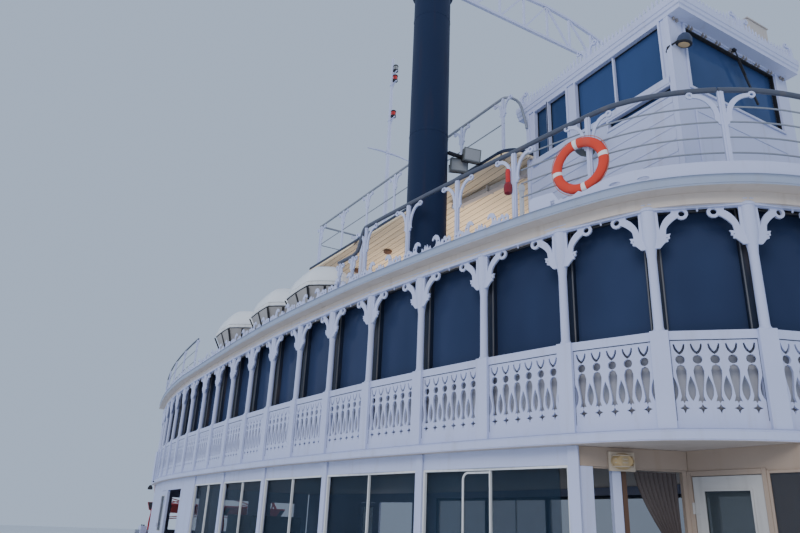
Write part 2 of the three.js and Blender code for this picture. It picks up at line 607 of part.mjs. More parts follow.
// The side rail's fore end, bent inboard and down beside the pilothouse: x, y, height above the roof
const ROOF_RAIL_END = [
  [8750, -1836, 1065], [8815, -1700, 1068], [8835, -1560, 1010], [8835, -1480, 850], [8835, -1465, 800],
  [8835, -1420, 660], [8835, -1405, 540],
];
const roofBase = CANOPY_TOP + FIT_GAP;
function roofRail() {
  const at = (x, height) => [x, -canopyHalf(x) + ROOF_RAIL.inset, roofBase + height];
  const run = (height, width) => bar(at(ROOF_RAIL.aft, height), at(ROOF_RAIL.fore, height), width, 6);
  const posts = indices(0, ROOF_RAIL.posts - 1).map((i) => {
    const x = ROOF_RAIL.aft + 60 + ((ROOF_RAIL.fore - ROOF_RAIL.aft - 90) * i) / (ROOF_RAIL.posts - 1);
    return bar(at(x, 0), at(x, ROOF_RAIL.height - 30), ROOF_RAIL.post);
  });
  const bend = ROOF_RAIL_END.map(([x, y, height]) => [x, y, roofBase + height]);
  const end = bend.slice(1).map((point, i) => bar(bend[i], point, ROOF_RAIL.tube, 6));
  return join([run(ROOF_RAIL.height - ROOF_RAIL.tube / 2, ROOF_RAIL.tube), run(ROOF_RAIL.rod, ROD), ...posts, ...end]);
}
function roofRailAft() {
  const half = canopyHalf(ROOF_RAIL.aft) - ROOF_RAIL.inset + ROOF_RAIL.post / 2;
  const strip = (width, z) => block(ROOF_RAIL.aft - width / 2, ROOF_RAIL.aft + width / 2, -half, half,
    z - width, z);
  const posts = [-1, -0.5, 0, 0.5, 1].map((part) => block(ROOF_RAIL.aft - 25, ROOF_RAIL.aft + 25,
    part * (half - 25) - 25, part * (half - 25) + 25, roofBase, roofBase + ROOF_RAIL.height - 10));
  return join([strip(ROOF_RAIL.tube, roofBase + ROOF_RAIL.height), strip(ROD, roofBase + ROOF_RAIL.rod), ...posts]);
}
const roofRailSide = roofRail();
add('roof_rail', join([roofRailSide, mirrored(roofRailSide), roofRailAft()]), 'white');

// Pilothouse

const PILOT_BASE = DECK_3 + FIT_GAP;
const PILOT_HEAD = PILOT_WALL_TOP - FIT_GAP;
// Side windows: aft edge, fore edge, sill, head
const PILOT_WINDOWS = [
  [10020, 11680, 9480, 10420], [9370, 9800, 9480, 10420], [9030, 9330, 9480, 10420], [10650, 11780, 9200, 9330],
];
const PILOT_FRONT_WINDOW = { half: 1040, sill: 9400, head: 10410 };
const PILOT_GLASS = { aft: 150, foot: 9150, head: 10440 };
const PILOT_DOOR = { half: 400, head: 9500 };

function pilotSide() {
  const wall = block(PILOT_AFT, PILOT_FRONT, -PILOT_HALF_WIDTH, -PILOT_HALF_WIDTH + WALL, PILOT_BASE, PILOT_HEAD);
  return cut(wall, PILOT_WINDOWS.map(([aft, fore, sill, head]) =>
    block(aft, fore, -PILOT_HALF_WIDTH - WALL, -PILOT_HALF_WIDTH + 2 * WALL, sill, head)));
}
const pilotEnd = (x) => block(x, x + WALL, -PILOT_HALF_WIDTH + WALL + FIT_GAP, PILOT_HALF_WIDTH - WALL - FIT_GAP,
  PILOT_BASE, PILOT_HEAD);
const starboardPilotWall = pilotSide();
add('pilothouse_side_starboard', starboardPilotWall, 'white');
add('pilothouse_side_port', mirrored(starboardPilotWall), 'white');
add('pilothouse_front', cut(pilotEnd(PILOT_FRONT - WALL), [
  block(PILOT_FRONT - 2 * WALL, PILOT_FRONT + WALL, -PILOT_FRONT_WINDOW.half, PILOT_FRONT_WINDOW.half,
    PILOT_FRONT_WINDOW.sill, PILOT_FRONT_WINDOW.head)]), 'white');
add('pilothouse_aft', cut(pilotEnd(PILOT_AFT), [
  block(PILOT_AFT - WALL, PILOT_AFT + 2 * WALL, -PILOT_DOOR.half, PILOT_DOOR.half, DECK_3 - 10, PILOT_DOOR.head)]),
'white');
// Glass lining of the side and front walls
function pilotGlass() {
  const lining = (inset) => block(PILOT_AFT + PILOT_GLASS.aft, PILOT_FRONT - WALL - inset,
    -PILOT_HALF_WIDTH + WALL + inset, PILOT_HALF_WIDTH - WALL - inset, PILOT_GLASS.foot, PILOT_GLASS.head);
  const room = lining(FIT_GAP + GLASS).translate([-GLASS, 0, 0]);
  return cut(lining(FIT_GAP), [room.translate([0, 0, -300]), room.translate([0, 0, 300])]);
}
add('pilothouse_glass', pilotGlass(), 'glass');
const ROOF_OVERHANG = { side: 50, end: 230 };
const SEARCHLIGHT = { x: PILOT_FRONT - 350, z: PILOT_ROOF_TOP + 420, width: 360, length: 340 };
add('pilothouse_roof', join([
  block(PILOT_AFT - ROOF_OVERHANG.end, PILOT_FRONT + ROOF_OVERHANG.end, -PILOT_HALF_WIDTH - ROOF_OVERHANG.side,
    PILOT_HALF_WIDTH + ROOF_OVERHANG.side, PILOT_WALL_TOP, PILOT_ROOF_TOP),
  bar([SEARCHLIGHT.x, 0, PILOT_ROOF_TOP - 5], [SEARCHLIGHT.x, 0, SEARCHLIGHT.z], 70, 8),
  bar([SEARCHLIGHT.x - SEARCHLIGHT.length / 2, 0, SEARCHLIGHT.z],
    [SEARCHLIGHT.x + SEARCHLIGHT.length / 2, 0, SEARCHLIGHT.z], SEARCHLIGHT.width, 14),
]), 'white');

// Hinged doors: leaf flush with the outside of its wall, two knuckles on the hinge line

const KNUCKLE = 14;
function door(width, height, light) {
  const leaf = block(DOOR_CLEARANCE, width - DOOR_CLEARANCE, 0, DOOR_THICKNESS, 20, height - DOOR_CLEARANCE);
  const opening = block(light.inset, width - light.inset, -10, DOOR_THICKNESS + 10, light.sill, light.head);
  const hinge = (z) => join([
    bar([0, -KNUCKLE - FIT_GAP, z], [0, -KNUCKLE - FIT_GAP, z + 120], 2 * KNUCKLE, 12),
    block(1, 70, -5, 3, z, z + 120),
  ]);
  const handle = block(width - 110, width - 80, -45, 3, height / 2, height / 2 + 120);
  return cut(join([leaf, hinge(250), hinge(height - 400), handle]), [opening]);
}
const DOOR_HEIGHT = DOOR_HEAD - MAIN_DECK;
const LOBBY_LIGHT = { inset: 140, sill: 950, head: 1950 };

const foredeckDoor = door(LOBBY_DOOR.fore - LOBBY_DOOR.aft, DOOR_HEIGHT, LOBBY_LIGHT)
  .translate([LOBBY_DOOR.aft, -LOBBY_HALF_WIDTH - WALL, MAIN_DECK]);
add('foredeck_door_starboard', foredeckDoor, 'white');
add('foredeck_door_port', mirrored(foredeckDoor), 'white');

function sideDoor() {
  const from = edge(DOOR_BAY, wallMiddle);
  const to = edge(DOOR_BAY + 1, wallMiddle);
  const [dx, dy] = towards(from, to);
  const width = Math.hypot(to[0] - from[0], to[1] - from[1]) - 2 * DOOR_JAMB;
  const hinge = [from[0] + dx * DOOR_JAMB - (dy * WALL) / 2, from[1] + dy * DOOR_JAMB + (dx * WALL) / 2];
  return door(width, DOOR_HEIGHT, LOBBY_LIGHT).mirror([0, 1, 0])
    .rotate([0, 0, THREE.MathUtils.radToDeg(Math.atan2(dy, dx))]).translate([hinge[0], hinge[1], MAIN_DECK]);
}
const sideDoorLeaf = sideDoor();
add('side_door_starboard', sideDoorLeaf, 'white');
add('side_door_port', mirrored(sideDoorLeaf), 'white');
add('pilothouse_door', door(2 * PILOT_DOOR.half, PILOT_DOOR.head - DECK_3, { inset: 140, sill: 1000, head: 1900 })
  .rotate([0, 0, -90]).translate([PILOT_AFT, PILOT_DOOR.half, DECK_3]), 'white');

// Mast in its tabernacle, with yard and lanterns

const MAST = { foot: 160, top: 90, hinge: 350, cheek: 40, pin: 30, yard: 700, yardHeight: 13950 };
// Lanterns on arms ahead of the mast: height of the middle
const LANTERNS = [16920, 16550, 15250];
const hingeZ = DECK_3 + MAST.hinge;
const cheekAt = (side) => {
  const y = side * (MAST.foot / 2 + 10 + MAST.cheek / 2);
  return block(MAST_X - 110, MAST_X + 110, y - MAST.cheek / 2, y + MAST.cheek / 2, DECK_3 + FIT_GAP, hingeZ + 150);
};
const pinBore = boreAcross(MAST.pin, -300, 300).translate([MAST_X, 0, hingeZ]);
add('mast_tabernacle', cut(join([cheekAt(-1), cheekAt(1),
  block(MAST_X - 110, MAST_X + 110, -200, 200, DECK_3 + FIT_GAP, DECK_3 + 40)]), [pinBore]), 'steel');

function mast() {
  const tube = turned([[0, hingeZ - 150], [MAST.foot / 2, hingeZ - 150], [MAST.foot / 2, hingeZ + 1500],
    [MAST.top / 2, MAST_TOP], [0, MAST_TOP]], 10, MAST_X, 0);
  const pin = across(MAST.pin, 0, -150, 150).translate([MAST_X, 0, hingeZ]);
  const yard = bar([MAST_X, -MAST.yard, MAST.yardHeight], [MAST_X, MAST.yard, MAST.yardHeight], 60, 6);
  const arms = LANTERNS.map((z) => block(MAST_X, MAST_X + 290, -25, 25, z - 150, z - 120));
  const lanterns = LANTERNS.map((z) => bar([MAST_X + 200, 0, z - 121], [MAST_X + 200, 0, z + 120], 170, 10));
  return join([tube, pin, yard, ...arms, ...lanterns]);
}
add('mast', mast(), 'white');

// Life rafts in cradles along the deck edge, lifebuoys and lamps

const RAFTS = [[3700, -2890], [1770, -3060], [-680, -3230]];
const RAFT_PLAN = [[650, -620], [1070, 0], [650, 620], [-650, 620], [-1070, 0], [-650, -620]];
// Scale of the plan at each height over the deck
const RAFT_RINGS = [[0.6, 95], [1, 700], [1, 790], [0.86, 1020], [0.6, 1250], [0.3, 1340]];
const RAFT_SILL = { reach: 700, offset: 280, width: 100 };
const raft = ([x, y]) => solid(new ConvexGeometry(RAFT_RINGS.flatMap(([scale, height]) =>
  RAFT_PLAN.map(([dx, dy]) => new THREE.Vector3(x + scale * dx, y + scale * dy, DECK_3 + height)))));
function raftSill(offset) {
  const [foreX, foreY] = RAFTS[0];
  const [aftX, aftY] = RAFTS.at(-1);
  const slope = (foreY - aftY) / (foreX - aftX);
  const z = DECK_3 + FIT_GAP + RAFT_SILL.width / 2;
  const at = (x) => [x, aftY + offset + slope * (x - aftX), z];
  return bar(at(aftX - RAFT_SILL.reach), at(foreX + RAFT_SILL.reach), RAFT_SILL.width);
}
const rafts = join([...RAFTS.map(raft), raftSill(-RAFT_SILL.offset), raftSill(RAFT_SILL.offset)]);
add('life_rafts_starboard', rafts, 'raft');
add('life_rafts_port', mirrored(rafts), 'raft');

// Pair of floodlights on a brace between the starboard stack and the canopy's roof
const BRACE = { x: 8100, outer: -2570, inner: -1700, width: 60 };
const LAMPS = [[8220, -2170, 9670], [7980, -2270, 9550]];
const LAMP = { depth: 200, width: 340, height: 260 };
add('floodlights', join([
  block(BRACE.x - BRACE.width / 2, BRACE.x + BRACE.width / 2, BRACE.outer, BRACE.inner, roofBase,
    roofBase + BRACE.width),
  ...LAMPS.map(([x, y, z]) => block(x - LAMP.depth / 2, x + LAMP.depth / 2, y - LAMP.width / 2, y + LAMP.width / 2,
    z - LAMP.height / 2, z + LAMP.height / 2)),
]), 'lamp');

// Paddle wheel on its beams behind the transom

const HUB = 330;
const RIMS = [[1050, 90], [1550, 90]];
const SPIDERS = [-2250, 0, 2250];
const SPIDER_THICKNESS = 60;
const BOARD = { inner: 1640, thickness: 45 };
const ringAt = (y, radius, width) =>
  across(radius + width / 2, radius - width / 2, y - SPIDER_THICKNESS / 2, y + SPIDER_THICKNESS / 2);
const armTurns = indices(0, ARM_COUNT - 1).map((i) => (360 * i) / ARM_COUNT);

function spider(y) {
  const hub = across(HUB, 0, y - 60, y + 60);
  const arm = block(-25, 25, y - 25, y + 25, HUB - 60, WHEEL_RADIUS - 60);
  const pieces = [hub, ...RIMS.map(([radius, width]) => ringAt(y, radius, width)),
    ...armTurns.map((turn) => arm.rotate([0, turn, 0]))];
  return cut(join(pieces), [across(SHAFT_RADIUS + FIT_GAP, 0, y - 100, y + 100)]);
}
const boards = armTurns.map((turn) => block(20, 20 + BOARD.thickness, -WHEEL_LENGTH / 2, WHEEL_LENGTH / 2,
  BOARD.inner, WHEEL_RADIUS).rotate([0, turn, 0]));
add('paddle_wheel', join([...SPIDERS.map(spider), ...boards]), 'red', WHEEL_X, 0, WHEEL_Z);
add('wheel_shaft', across(SHAFT_RADIUS, 0, -BEAM_Y - 260, BEAM_Y + 260), 'steel', WHEEL_X, 0, WHEEL_Z);

const BEAM = { half: 130, top: MAIN_DECK + 400, fore: TRANSOM - FIT_GAP, aft: WHEEL_X - 500 };
function wheelBeam() {
  const side = new THREE.Shape([[BEAM.fore, 1500], [BEAM.fore, BEAM.top], [BEAM.aft, BEAM.top],
    [BEAM.aft, BEAM.top - 300]].map(([x, z]) => new THREE.Vector2(x, z)));
  const timber = new THREE.ExtrudeGeometry(side, { depth: 2 * BEAM.half, bevelEnabled: false });
  timber.rotateX(Math.PI / 2).translate(0, -BEAM_Y + BEAM.half, 0);
  const bearing = block(WHEEL_X - 260, WHEEL_X + 260, -BEAM_Y - 110, -BEAM_Y + 110, BEAM.top - 20, WHEEL_Z + 240);
  const bore = boreAcross(SHAFT_RADIUS, -BEAM_Y - 300, -BEAM_Y + 300).translate([WHEEL_X, 0, WHEEL_Z]);
  return cut(join([solid(timber), bearing]), [bore]);
}
const beam = wheelBeam();
add('wheel_beam_starboard', beam, 'white');
add('wheel_beam_port', mirrored(beam), 'white');

// Rudders under the stern rake, on stocks that end in bosses of the hull

const RUDDER = { x: -9350, y: 1500, fore: 550, aft: 950, foot: 100, top: 740, thickness: 60, stock: 55 };
const rudder = (y) => join([
  block(RUDDER.x - RUDDER.aft, RUDDER.x + RUDDER.fore, y - RUDDER.thickness / 2, y + RUDDER.thickness / 2,
    RUDDER.foot, RUDDER.top),
  bar([RUDDER.x, y, RUDDER.foot], [RUDDER.x, y, RUDDER_BOSS - FIT_GAP], 2 * RUDDER.stock, 12),
]);
add('rudder_starboard', rudder(-RUDDER.y), 'dark');
add('rudder_port', rudder(RUDDER.y), 'dark');

export default boat;
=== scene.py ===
"""Sternwheel excursion boat: the dressed model, built as an add-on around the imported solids.

Metres, X forward, Y to port, Z up, origin under the middle of the boat on its flat bottom.
"""

import math

import bmesh
import bpy
import numpy as np
from bpy.props import FloatProperty, FloatVectorProperty, IntProperty, PointerProperty
from mathutils import Matrix, Vector
from mathutils.geometry import delaunay_2d_cdt


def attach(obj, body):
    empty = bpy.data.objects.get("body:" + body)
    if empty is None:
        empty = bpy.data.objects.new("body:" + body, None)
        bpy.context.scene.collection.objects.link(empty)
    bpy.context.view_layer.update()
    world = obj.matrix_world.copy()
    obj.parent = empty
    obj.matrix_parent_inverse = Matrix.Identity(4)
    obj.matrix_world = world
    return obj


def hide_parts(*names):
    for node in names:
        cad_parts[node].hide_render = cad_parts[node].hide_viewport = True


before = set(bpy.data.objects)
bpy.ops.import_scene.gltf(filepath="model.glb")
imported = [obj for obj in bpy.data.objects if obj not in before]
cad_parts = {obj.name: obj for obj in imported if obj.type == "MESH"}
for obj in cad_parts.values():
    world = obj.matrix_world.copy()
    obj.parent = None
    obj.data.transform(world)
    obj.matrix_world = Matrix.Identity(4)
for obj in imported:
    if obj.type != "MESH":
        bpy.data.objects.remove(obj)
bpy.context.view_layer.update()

bl_info = {
    "name": "Sternwheel excursion boat",
    "version": (1, 0, 0),
    "blender": (4, 5, 0),
    "location": "View3D > Sidebar > Boat",
    "description": "Builds a two-decked sternwheel boat piece by piece",
    "category": "Object",
}

# Air under a seated piece, and between a trim piece and the face behind it
GAP = 0.0003
PROUD = 0.0005

# Width of the bevel on sawn and bent trim
TRIM_BEVEL = 0.004

# Heights
WATERLINE = 1.15
MAIN_DECK = 2.1
HOUSE_LOW = MAIN_DECK + PROUD
HOUSE_GLASS = (2.93, 4.24)
WING_HEAD = 4.262
DECK_2 = 4.6
DECK_2_UNDER = 4.48
SALOON_SILL = 5.56
DECK_3 = 7.38
DECK_3_UNDER = 7.25
HEADER_UNDER = 7.11
CEILING_UNDER = 9.534
CANOPY_UNDER = 9.55
CANOPY_TOP = 9.64
PILOT_WALL_TOP = 10.45
PILOT_ROOF_TOP = 10.70
STACK_BAND = 13.0
STACK_TOP = 14.3
MAST_TOP = 17.4

# Plan: the house's wall line is measured out from the posts
HALF_BEAM = 4.012
HOUSE_LINE = -0.06
LOBBY_FRONT = 12.9
LOBBY_SIDE = 1.45
PILOT_FRONT = 11.87
PILOT_AFT = 8.8
PILOT_SIDE = 1.37
CANOPY_FRONT = 8.94
CANOPY_AFT = 1.3
CANOPY_HALF_AFT = 2.3
CANOPY_HALF_FORE = 1.876
CANOPY_CORNER = 0.34
CANOPY_POSTS = (1.6, 3.9, 6.5)
VENT = (10.18, 2.70)
STACK = {"x": 7.97, "y": 2.9, "radius": 0.34}
MAST_X = 0.93
WHEEL = {"x": -12.9, "z": 2.8, "arms": 12, "spiders": (-2.25, 0, 2.25), "beam_y": 2.75}

# Doors: aft and fore edge of a foredeck door, low and high edge of a pane and of its bead over the deck, the
# stile beside a pane, and the starboard bay of the side door
FOREDECK_DOOR = (11.5, 12.35)
DOOR_PANE = (0.951, 1.949)
DOOR_BEAD = (0.962, 1.938)
DOOR_STILE = 0.141
SIDE_DOOR_BAY = 16

# Posts on starboard where the house's long windows start, each two bays long, and the one that has the
# sliding sash
HOUSE_WINDOWS = (3, 5, 7, 9, 11)
SASH_BAY = 3

# Starboard wing of the house front: outer end, direction inwards, direction out of the wall
WING = (np.array((10.8835, -2.6325)), np.array((0.4321, 0.9018)), np.array((0.9018, -0.4321)))

# Posts of the colonnade from the bow to the stern: station x, half breadth y
POSTS = np.array([
    (13.06, 0.55), (12.67, 1.53), (11.93, 2.29), (10.90, 2.69), (9.67, 2.98), (8.42, 3.21), (7.17, 3.40),
    (5.92, 3.53), (4.67, 3.64), (3.41, 3.72), (2.14, 3.76), (0.87, 3.79), (-0.38, 3.80), (-1.65, 3.80),
    (-2.91, 3.80), (-4.13, 3.76), (-5.35, 3.69), (-6.57, 3.59), (-7.78, 3.46), (-8.99, 3.29), (-10.20, 3.10),
])
CORNER = 3
STERN = len(POSTS) - 1
LOOP = np.concatenate((POSTS * (1, -1), POSTS[::-1]))

# Directions: along, up and out of a plate that faces ahead or astern
UP = np.array((0.0, 0.0, 1.0))
AHEAD = ((0, 1, 0), UP, (1, 0, 0))
ASTERN = ((0, 1, 0), UP, (-1, 0, 0))
SIGNS = (-1.0, 1.0)
SIDES = (("starboard", -1.0), ("port", 1.0))

# Surfaces


def unit(v):
    """Vectors divided by their lengths."""
    v = np.asarray(v, float)
    return v / np.linalg.norm(v, axis=-1, keepdims=True)


def grid_faces(rows, columns, wrap_rows=False, wrap_columns=False):
    """Quads between the points of a grid kept row by row: (r, c), (r, c+1), (r+1, c+1), (r+1, c)."""
    r = np.arange(rows if wrap_rows else rows - 1)[:, None]
    c = np.arange(columns if wrap_columns else columns - 1)[None]
    after_r, after_c = (r + 1) % rows, (c + 1) % columns
    corners = (r * columns + c, r * columns + after_c, after_r * columns + after_c, after_r * columns + c)
    return np.stack(np.broadcast_arrays(*corners), -1).reshape(-1, 4)


def merge(shapes):
    """One shape from many: points stacked, face numbers moved on by the points before them."""
    points, faces, start = [], [], 0
    for p, f in shapes:
        points.append(p)
        faces += [a + start for a in f]
        start += len(p)
    return np.concatenate(points), faces


def box(lo, hi):
    """Box between two corners: the eight corners are every mix of low and high along X, Y and Z."""
    lo, hi = np.asarray(lo, float), np.asarray(hi, float)
    pick = np.array([(i >> 2 & 1, i >> 1 & 1, i & 1) for i in range(8)])
    faces = np.array([(0, 1, 3, 2), (4, 6, 7, 5), (0, 4, 5, 1), (2, 3, 7, 6), (0, 2, 6, 4), (1, 5, 7, 3)])
    return lo + pick * (hi - lo), [faces]


def place(shape, origin, u, v, w):
    """A shape moved so that its x, y and z run along u, v and w from the origin."""
    points, faces = shape
    return np.asarray(origin) + points @ np.array((u, v, w), float), faces


def placed(parts, *where):
    """List of the parts, each put in place."""
    return [place(part, *where) for part in parts]


def repeat(shape, origins, u, v, w):
    """Copies of a shape, one at each origin with its own three directions (arrays of k rows)."""
    points, faces = shape
    k = len(origins)
    frames = np.stack([np.broadcast_to(np.asarray(a, float), (k, 3)) for a in (u, v, w)], 1)
    moved = np.asarray(origins, float)[:, None] + np.einsum("pi,kij->kpj", points, frames)
    step = (np.arange(k) * len(points))[:, None, None]
    return moved.reshape(-1, 3), [(f[None] + step).reshape(-1, f.shape[1]) for f in faces]


def capped(rows, columns):
    """Faces of a run of rings: quads from ring to ring, the first and the last ring filled."""
    ends = np.arange(columns)
    return [grid_faces(rows, columns, False, True), ends[None], (ends[::-1] + columns * (rows - 1))[None]]


def fanned(points, rows, sides, poles):
    """Rings with a pole at each end: quads from ring to ring, triangles from the end rings to the poles."""
    a = np.arange(sides)
    faces = [grid_faces(rows, sides, False, True)]
    for k, row in enumerate((0, rows - 1)):
        pole = np.full(sides, len(points) + k)
        faces.append(np.stack((row * sides + a, row * sides + (a + 1) % sides, pole), -1))
    return np.concatenate((points, poles)), faces


def sweep(path, profile, closed=False):
    """Profile carried along a level path: each (out, z) point is set off square to the path, mitred."""
    path = np.asarray(path, float)
    ahead = unit(np.roll(path, -1, 0) - path)
    behind = np.roll(ahead, 1, 0)
    if not closed:
        ahead[-1] = ahead[-2]
        behind[0] = ahead[0]
    turn = ahead + behind
    turn /= (1 + (ahead * behind).sum(1))[:, None]
    out = np.stack((-turn[:, 1], turn[:, 0]), 1)
    profile = np.asarray(profile, float)
    xy = path[:, None] + profile[None, :, :1] * out[:, None]
    z = np.broadcast_to(profile[None, :, 1:], (len(path), len(profile), 1))
    points = np.concatenate((xy, z), -1).reshape(-1, 3)
    if closed:
        return points, [grid_faces(len(path), len(profile), True, True)]
    return points, capped(len(path), len(profile))


def slab(ring, profile):
    """Plate with a moulded edge: the profile goes round the ring, its first line is filled on top and its
    last one below."""
    points, faces = sweep(ring, profile, closed=True)
    n, m = len(ring), len(profile)
    first = np.arange(n) * m
    quads = faces[0].reshape(n, m, 4)[:, :-1].reshape(-1, 4)
    return points, [quads, first[None], (first[::-1] + m - 1)[None]]


def lathe(profile, sides=32, x=0.0, y=0.0):
    """Profile of (radius, height) turned about the upright axis at x and y, each end closed by a fan."""
    profile = np.asarray(profile, float)
    angle = np.linspace(0, 2 * np.pi, sides, endpoint=False)
    ring = np.stack((np.cos(angle), np.sin(angle)), -1)
    height = np.broadcast_to(profile[:, None, 1:], (len(profile), sides, 1))
    points = np.concatenate((profile[:, None, :1] * ring[None], height), -1).reshape(-1, 3)
    points, faces = fanned(points, len(profile), sides, [(0, 0, profile[0, 1]), (0, 0, profile[-1, 1])])
    return points + (x, y, 0), faces


def tube(path, radius, sides=8, closed=False):
    """Round tube along a path: circles square to the path's direction, fanned shut at the ends."""
    path = np.asarray(path, float)
    if closed:
        direction = unit(np.roll(path, -1, 0) - np.roll(path, 1, 0))
    else:
        direction = unit(np.gradient(path, axis=0))
    spread = np.ptp(path, axis=0)
    reference = np.eye(3)[int(np.argmin(spread + np.array((0, 0, -1e-6))))]
    across = np.cross(direction, reference)
    weak = np.linalg.norm(across, axis=1) < 0.1
    across[weak] = np.cross(direction[weak], (0.577, 0.577, 0.577))
    across = unit(across)
    other = np.cross(direction, across)
    angle = np.linspace(0, 2 * np.pi, sides, endpoint=False)[None, :, None]
    radius = np.broadcast_to(np.asarray(radius, float), (len(path),))[:, None, None]
    circles = path[:, None] + radius * (np.cos(angle) * across[:, None] + np.sin(angle) * other[:, None])
    points = circles.reshape(-1, 3)
    if closed:
        return points, [grid_faces(len(path), sides, True, True)]
    return fanned(points, len(path), sides, path[[0, -1]])


def bar(a, b, radius, sides=8):
    """Straight round bar between two points."""
    return tube(np.linspace(a, b, 2), radius, sides)


def square_bar(a, b, width, depth=None, up=UP):
    """Straight bar of oblong section between two points, its depth along up."""
    a, b = np.asarray(a, float), np.asarray(b, float)
    u = unit(b - a)
    v = unit(np.cross(up, u))
    w = np.cross(u, v)
    half = (width / 2, (depth or width) / 2)
    return place(box((0, -half[0], -half[1]), (np.linalg.norm(b - a), half[0], half[1])), a, u, v, w)


def cut_plate(outline, holes, thickness):
    """Flat plate in x and y with holes: the loops are triangulated, the triangles whose middle lies inside an
    odd number of loops make the two faces, and a wall of quads joins them along every loop."""
    loops = [np.asarray(loop, float) for loop in (outline, *holes)]
    flat = np.concatenate(loops)
    rims, start = [], 0
    for loop in loops:
        i = np.arange(len(loop)) + start
        rims.append(np.stack((i, np.roll(i, -1)), 1))
        start += len(loop)
    edges = np.concatenate(rims)
    points, _, triangles, origin, _, _ = delaunay_2d_cdt(
        [Vector(p) for p in flat], [tuple(int(k) for k in e) for e in edges], [], 2, 1e-6)
    points = np.array([tuple(p) for p in points])
    triangles = np.array(triangles)
    middle = points[triangles].mean(1)[:, None]
    a, b = flat[edges[:, 0]], flat[edges[:, 1]]
    rise = np.where(a[:, 1] == b[:, 1], 1.0, b[:, 1] - a[:, 1])
    crossing = a[:, 0] + (middle[..., 1] - a[:, 1]) * (b[:, 0] - a[:, 0]) / rise
    beyond = ((a[:, 1] > middle[..., 1]) != (b[:, 1] > middle[..., 1])) & (crossing > middle[..., 0])
    triangles = triangles[beyond.sum(1) % 2 == 1]
    renumber = np.zeros(len(flat), int)
    for new, old in enumerate(origin):
        renumber[list(old)] = new
    n = len(points)
    top = np.column_stack((points, np.full(n, thickness / 2)))
    bottom = np.column_stack((points, np.full(n, -thickness / 2)))
    edge = renumber[edges]
    wall = np.stack((edge[:, 0], edge[:, 0] + n, edge[:, 1] + n, edge[:, 1]), -1)
    return np.concatenate((top, bottom)), [triangles, triangles[:, ::-1] + n, wall]


def circle(x, y, radius, sides=10, start=0.0, end=360.0):
    """Points on an arc about (x, y), from start to end in degrees; a full circle doesn't repeat its start."""
    full = abs(end - start) >= 360
    a = np.radians(np.linspace(start, end, sides, endpoint=not full))
    return np.stack((x + radius * np.cos(a), y + radius * np.sin(a)), -1)


def build(name, parts, body="boat", replaced=(), bevel=0.0, smooth=35.0):
    """One object from pairs of a shape, or a list of shapes, and the name of the finish its faces get."""
    mesh = bpy.data.meshes.new(name)
    parts = [(merge(made) if isinstance(made, list) else made, finish) for made, finish in parts]
    finishes = list(dict.fromkeys(finish for _, finish in parts))
    points, faces = merge([shape for shape, _ in parts])
    index = np.concatenate([
        np.full(sum(len(f) for f in shape[1]), finishes.index(finish)) for shape, finish in parts])
    lists = [face for block in faces for face in block.tolist()]
    mesh.from_pydata(points, [], lists)
    mesh.polygons.foreach_set("material_index", index.astype(np.int32))
    work = bmesh.new()
    work.from_mesh(mesh)
    bmesh.ops.recalc_face_normals(work, faces=work.faces)
    work.to_mesh(mesh)
    work.free()
    mesh.shade_smooth()
    mesh.set_sharp_from_angle(angle=math.radians(smooth))
    for finish in finishes:
        mesh.materials.append(bpy.data.materials[finish])
    piece = bpy.data.objects.new(name, mesh)
    bpy.context.scene.collection.objects.link(piece)
    if bevel:
        soften = piece.modifiers.new("edges", "BEVEL")
        soften.width = bevel
        soften.segments = 1
        soften.limit_method = "ANGLE"
        soften.angle_limit = math.radians(50)
    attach(piece, body)
    if replaced:
        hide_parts(*replaced)
    return piece


# Deck edge


def edge(index, distance):
    """Point at a post moved out square to both of the bays that meet there."""
    here, before, after = (LOOP[i % len(LOOP)] for i in (index, index - 1, index + 1))
    a, b = unit(here - before), unit(after - here)
    scale = distance / (1 + a @ b)
    return here + scale * np.array((-(a[1] + b[1]), a[0] + b[0]))


def edge_points(t, distance):
    """Points on the smooth deck edge at stations t: a cubic through the posts, so that station 4.25
    is a quarter of the way from post 4 to post 5."""
    t = np.asarray(t, float)
    k = np.floor(t + 1e-9).astype(int)
    s = (t - k)[:, None]
    low, high = -1 - STERN, STERN

    def at(posts):
        """Points at whole posts, the last one again beyond either end."""
        return np.array([edge(int(np.clip(j, low, high)), distance) for j in posts])

    p0, p1, p2, p3 = at(k - 1), at(k), at(k + 1), at(k + 2)
    return 0.5 * (2 * p1 + (p2 - p0) * s + (2 * p0 - 5 * p1 + 4 * p2 - p3) * s**2
                  + (3 * p1 - p0 - 3 * p2 + p3) * s**3)


def edge_curve(first, last, distance, steps=8):
    """Line along the smooth deck edge between two stations."""
    count = max(2, int(math.ceil(abs(last - first) * steps)) + 1)
    return edge_points(np.linspace(first, last, count), distance)


def bent(shape, first, last, distance, base):
    """A flat board bent along the deck edge: x is the length run from the first station, y the height
    over the base and z is added to the distance out."""
    points, faces = shape
    line = edge_curve(first, last, distance, 24)
    run = np.concatenate(([0], np.cumsum(np.linalg.norm(np.diff(line, axis=0), axis=1))))
    ahead = unit(np.gradient(line, axis=0))
    x = points[:, 0]
    at = np.stack([np.interp(x, run, line[:, i]) for i in (0, 1)], -1)
    d = unit(np.stack([np.interp(x, run, ahead[:, i]) for i in (0, 1)], -1))
    out = np.stack((-d[:, 1], d[:, 0]), -1) * (1 if last > first else -1)
    return np.column_stack((at + out * points[:, 2:], base + points[:, 1])), faces


def edge_length(first, last, distance):
    """Length of the smooth deck edge between two stations."""
    return np.linalg.norm(np.diff(edge_curve(first, last, distance, 24), axis=0), axis=1).sum()


def deck_ring(distance):
    """The whole deck edge as one closed line, smooth from the stern round the bow and straight across aft."""
    return edge_curve(STERN, -1 - STERN, distance)


def on_side(sign, number, span=0):
    """Number on one side of a post or station, or of a bay of so many spans, from its number on starboard."""
    return number if sign < 0 else -1 - span - number


